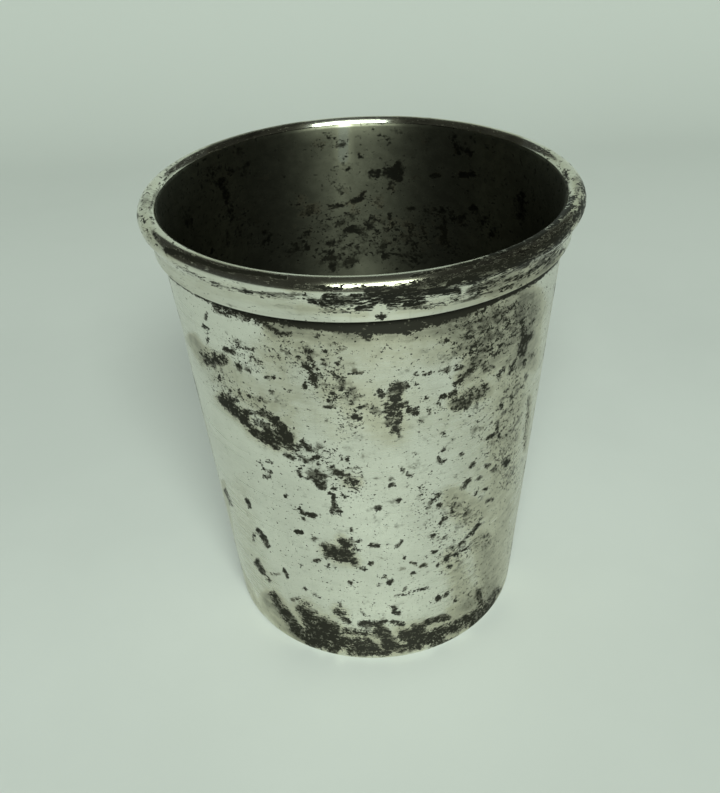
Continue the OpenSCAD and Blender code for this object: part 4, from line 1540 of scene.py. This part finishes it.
# %% Marks and haze on the collar
COLLAR_MARKS = {
    "left dashes": [
        (178, 267, 203, 278, 0.56, 2.6, 2.8), (203, 278, 232, 289, 0.55, 3),
        (232, 289, 262, 294, 0.54, 3), (262, 295, 298, 297, 0.53, 3.4), (212, 284, 222, 287, 0.72, 2),
        (240, 291, 252, 293, 0.74, 1.8)],
    "fine dots left of the middle": [(293, 295, 324, 299, 0.52, 4.5)],
    "patch left of the middle": [
        (309, 301, 322, 304, 0.9, 2.6, 3.4), (318, 304, 344, 304.5, 0.88, 3.4, 3),
        (344, 305, 353, 306, 0.62, 2), (320, 310, 356, 311, 0.55, 3.5), (324, 300, 342, 300.5, 0.8, 2.6)],
    "dashes in the middle": [
        (326, 295.5, 366, 297, 0.88, 3.4, 3.6), (338, 301, 374, 302, 0.86, 3.6, 3.8),
        (357, 309, 372, 308, 0.9, 3.2)],
    "spot at the edge": [(377, 317, 385, 316, 0.94, 3, 2.6), (381, 314, 382, 319, 0.88, 2.2)],
    "main patch": [
        (369, 296, 392, 299, 1, 5.5, 7), (390, 299, 420, 300, 1.08, 7.5, 7),
        (396, 292, 434, 290, 1.02, 5), (420, 293, 443, 292, 1, 5, 4.6),
        (366, 291, 402, 290, 0.94, 3.6, 4)],
    "dashes right of the middle": [
        (388, 308, 416, 306, 0.66, 3.4), (416, 308, 446, 303, 0.62, 3), (446, 302, 478, 295, 0.62, 3.8)],
    "streaks on the right": [
        (470, 291, 494, 284, 0.62, 4), (488, 284, 533, 273, 0.64, 4.5, 5), (470, 296, 520, 284, 0.6, 3),
        (533, 270, 560, 250, 0.68, 6)],
    "dirty lip on the right": [
        (412, 284, 440, 281, 0.86, 4, 4.5), (440, 282, 470, 277, 0.86, 5, 6),
        (432, 289, 457, 291, 1.02, 5, 4.6), (450, 284, 478, 279, 0.96, 5),
        (470, 277, 520, 262, 0.94, 7.5, 8.5), (520, 261, 556, 240, 0.92, 8),
        (556, 240, 582, 212, 0.82, 7)],
    "dirt on the lip in front": [
        (296, 286, 324, 288, 0.6, 3), (330, 286, 405, 285, 0.52, 2.4),
        (314, 287, 334, 287, 0.74, 2.6, 2.2), (396, 285, 420, 284, 0.8, 2.4, 3),
        (324, 289.5, 404, 286.8, 0.95, 1.9), (362, 284, 370, 283.5, 0.6, 1.6)],
    # Painted shade: the black along the lip's inner edge narrows the paper's pale reflection to a thin
    # line and darkens the lip where it mirrors dim surroundings
    "inner edge of the lip, left": [
        (167, 249.5, 224, 269.5, 1.3, 2.8, 2.4), (224, 269.5, 286, 277.5, 1.2, 2.4, 2)],
    "inner edge of the lip, right": [
        (411, 276.5, 474, 262.5, 0.95, 1.8, 2.2), (474, 262.5, 522, 244.5, 0.98, 2.4, 2.6),
        (522, 244.5, 563, 213, 1, 2.6, 3.4), (563, 213, 578, 190, 0.84, 3.6),
        (534, 239, 557, 223, 1.05, 2.4, 2.6), (557, 223, 572, 206, 0.8, 2.6, 2.8)],
    # Painted shade too: these thin the pale reflection at the ends of the lip
    "pale inner edge at the ends": [
        (156, 240, 150, 208, 0.54, 2.6), (150, 208, 160, 184, 0.44, 2.6),
        (160, 184, 186, 160, 0.48, 2.6, 2.4), (548, 150, 565, 172, 0.5, 3), (565, 172, 570, 200, 0.7, 3)],
    "left end of the lip": [
        (152, 178, 142, 215, 0.36, 8), (142, 215, 154, 242, 0.42, 8, 6), (200, 150, 160, 176, 0.38, 5, 6),
        # The last stroke is painted shade: the tip of the dark reflection along the inner edge
        (166, 250, 172, 252, 1, 3)],
    "right end of the lip": [
        (580, 212, 587, 188, 0.7, 6), (545, 152, 580, 182, 0.38, 7, 8), (584, 183, 586, 200, 0.7, 6)],
}
COLLAR_HAZE_AND_SHADE = {
    "lip in front": [(170, 252, 290, 284, 0.45, 7), (290, 284, 420, 284, 0.6, 7)],
    "ends of the lip": [
        (155, 172, 142, 215, 0.2, 9), (142, 215, 156, 246, 0.32, 9, 8), (548, 152, 582, 184, 0.24, 8, 9),
        (582, 184, 580, 212, 0.66, 9)],
    "lip on the right": [(420, 284, 540, 252, 0.85, 8, 9), (540, 252, 583, 205, 0.7, 9, 8)],
    # Painted shade: haze that darkens the far lip where it mirrors dim surroundings
    "lip behind": [
        (398, 121, 470, 130, 0.9, 6), (470, 130, 516, 141, 0.85, 6), (298, 123, 250, 134, 0.85, 6),
        (250, 134, 212, 148, 0.8, 6)],
    "band on the left": [(200, 284, 300, 308, 0.2, 9, 8), (300, 308, 365, 314, 0.3, 6, 5)],
    "band on the right": [(400, 310, 480, 300, 0.26, 7), (490, 288, 556, 262, 0.74, 10)],
}
print("collar:", count_strokes(COLLAR_MARKS), "strokes, haze:", count_strokes(COLLAR_HAZE_AND_SHADE))

# %% Paint the collar
COLLAR_DRAWN = dict(count=110, low=80, high=87, seed=BACK_SEED + 7, widest=1.6, steepest=0.12)
COLLAR_TARNISH = 0.15
COLLAR_SWING = 0.08
COLLAR_WAVES = 3
COLLAR_DULL = 0.12
COLLAR_DULL_SWING = 0.10
LIP_STARTS = (83.5, 85.0)
POLISH_BEHIND = 0.65
POLISH_ADDED = 0.22
POLISH_FADE = (130, 100)


def paint_collar():
    """Marks in front and behind over a thin uneven tarnish, painted shade along the lip, and polish on
    the lip.
    """
    points = mesh_points(collar)
    seen = seen_share(collar)
    pixels = picture_pixels(points)
    turns = turn_of(points)
    behind = brush_all(unrolled(points), drawn_strokes(**COLLAR_DRAWN))
    marks = seen * brush_all(pixels, COLLAR_MARKS) + (1 - seen) * behind
    thin = COLLAR_TARNISH + COLLAR_SWING * waves(turns * COLLAR_WAVES, BACK_SEED + 8)
    paint(collar, "tarnish_and_shade", np.maximum(marks, thin), SOLID_BLACK)
    dull = COLLAR_DULL + COLLAR_DULL_SWING * waves(turns, BACK_SEED + 9)
    paint(collar, "haze_shade_and_sheen", np.maximum(dull, seen * brush_all(pixels, COLLAR_HAZE_AND_SHADE)))
    on_lip = soft_step(*LIP_STARTS, points[:, 2] / MM)
    polish = POLISH_BEHIND + POLISH_ADDED * soft_step(*POLISH_FADE, np.abs(turns))
    paint(collar, "polish", on_lip * polish)


paint_collar()

# %% [markdown]
# ## The floor
# The floor can't be reached at all, and dregs have dried on it: it is stained and blotched all over.
# The same seeded hand draws the blots, this time straight on the flat disc.

# %% Paint the floor
FLOOR_DRAWN = dict(count=40, low=-28, high=28, seed=BACK_SEED + 10, widest=4.0)
FLOOR_TARNISH = 0.36
FLOOR_HAZE = 0.6


def paint_floor():
    """Blots over an even stain."""
    points = mesh_points(floor)
    blots = brush_all(points[:, :2] / MM, drawn_strokes(**FLOOR_DRAWN))
    paint(floor, "tarnish_and_shade", np.maximum(FLOOR_TARNISH, blots))
    paint(floor, "haze_shade_and_sheen", np.full(len(points), FLOOR_HAZE))
    paint(floor, "polish", np.zeros(len(points)))


paint_floor()

# %% [markdown]
# ## The pieces take the solids' place
# Each new piece rides on the tumbler's one body, and the solid that it stands for is hidden. The wire
# and the solder under the skirt keep their own solids and only get a finish.

# %% Ride, replace and finish
for piece, node, slot in (
    (wall, "cup_wall", "worn_silver_plate"),
    (collar, "rim_collar", "polished_silver_plate"),
    (floor, "base_disc", "tarnished_silver_plate"),
    (floor_solder, "base_solder", "soft_solder"),
):
    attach(piece, "root")
    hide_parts(node)
    print(piece.name, "stands for", node)

for node, metal in (("collar_solder", SOLDER_METAL), ("lip_wire", WIRE_METAL)):
    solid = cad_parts[node]
    solid.data.materials.clear()
    solid.data.materials.append(metal)
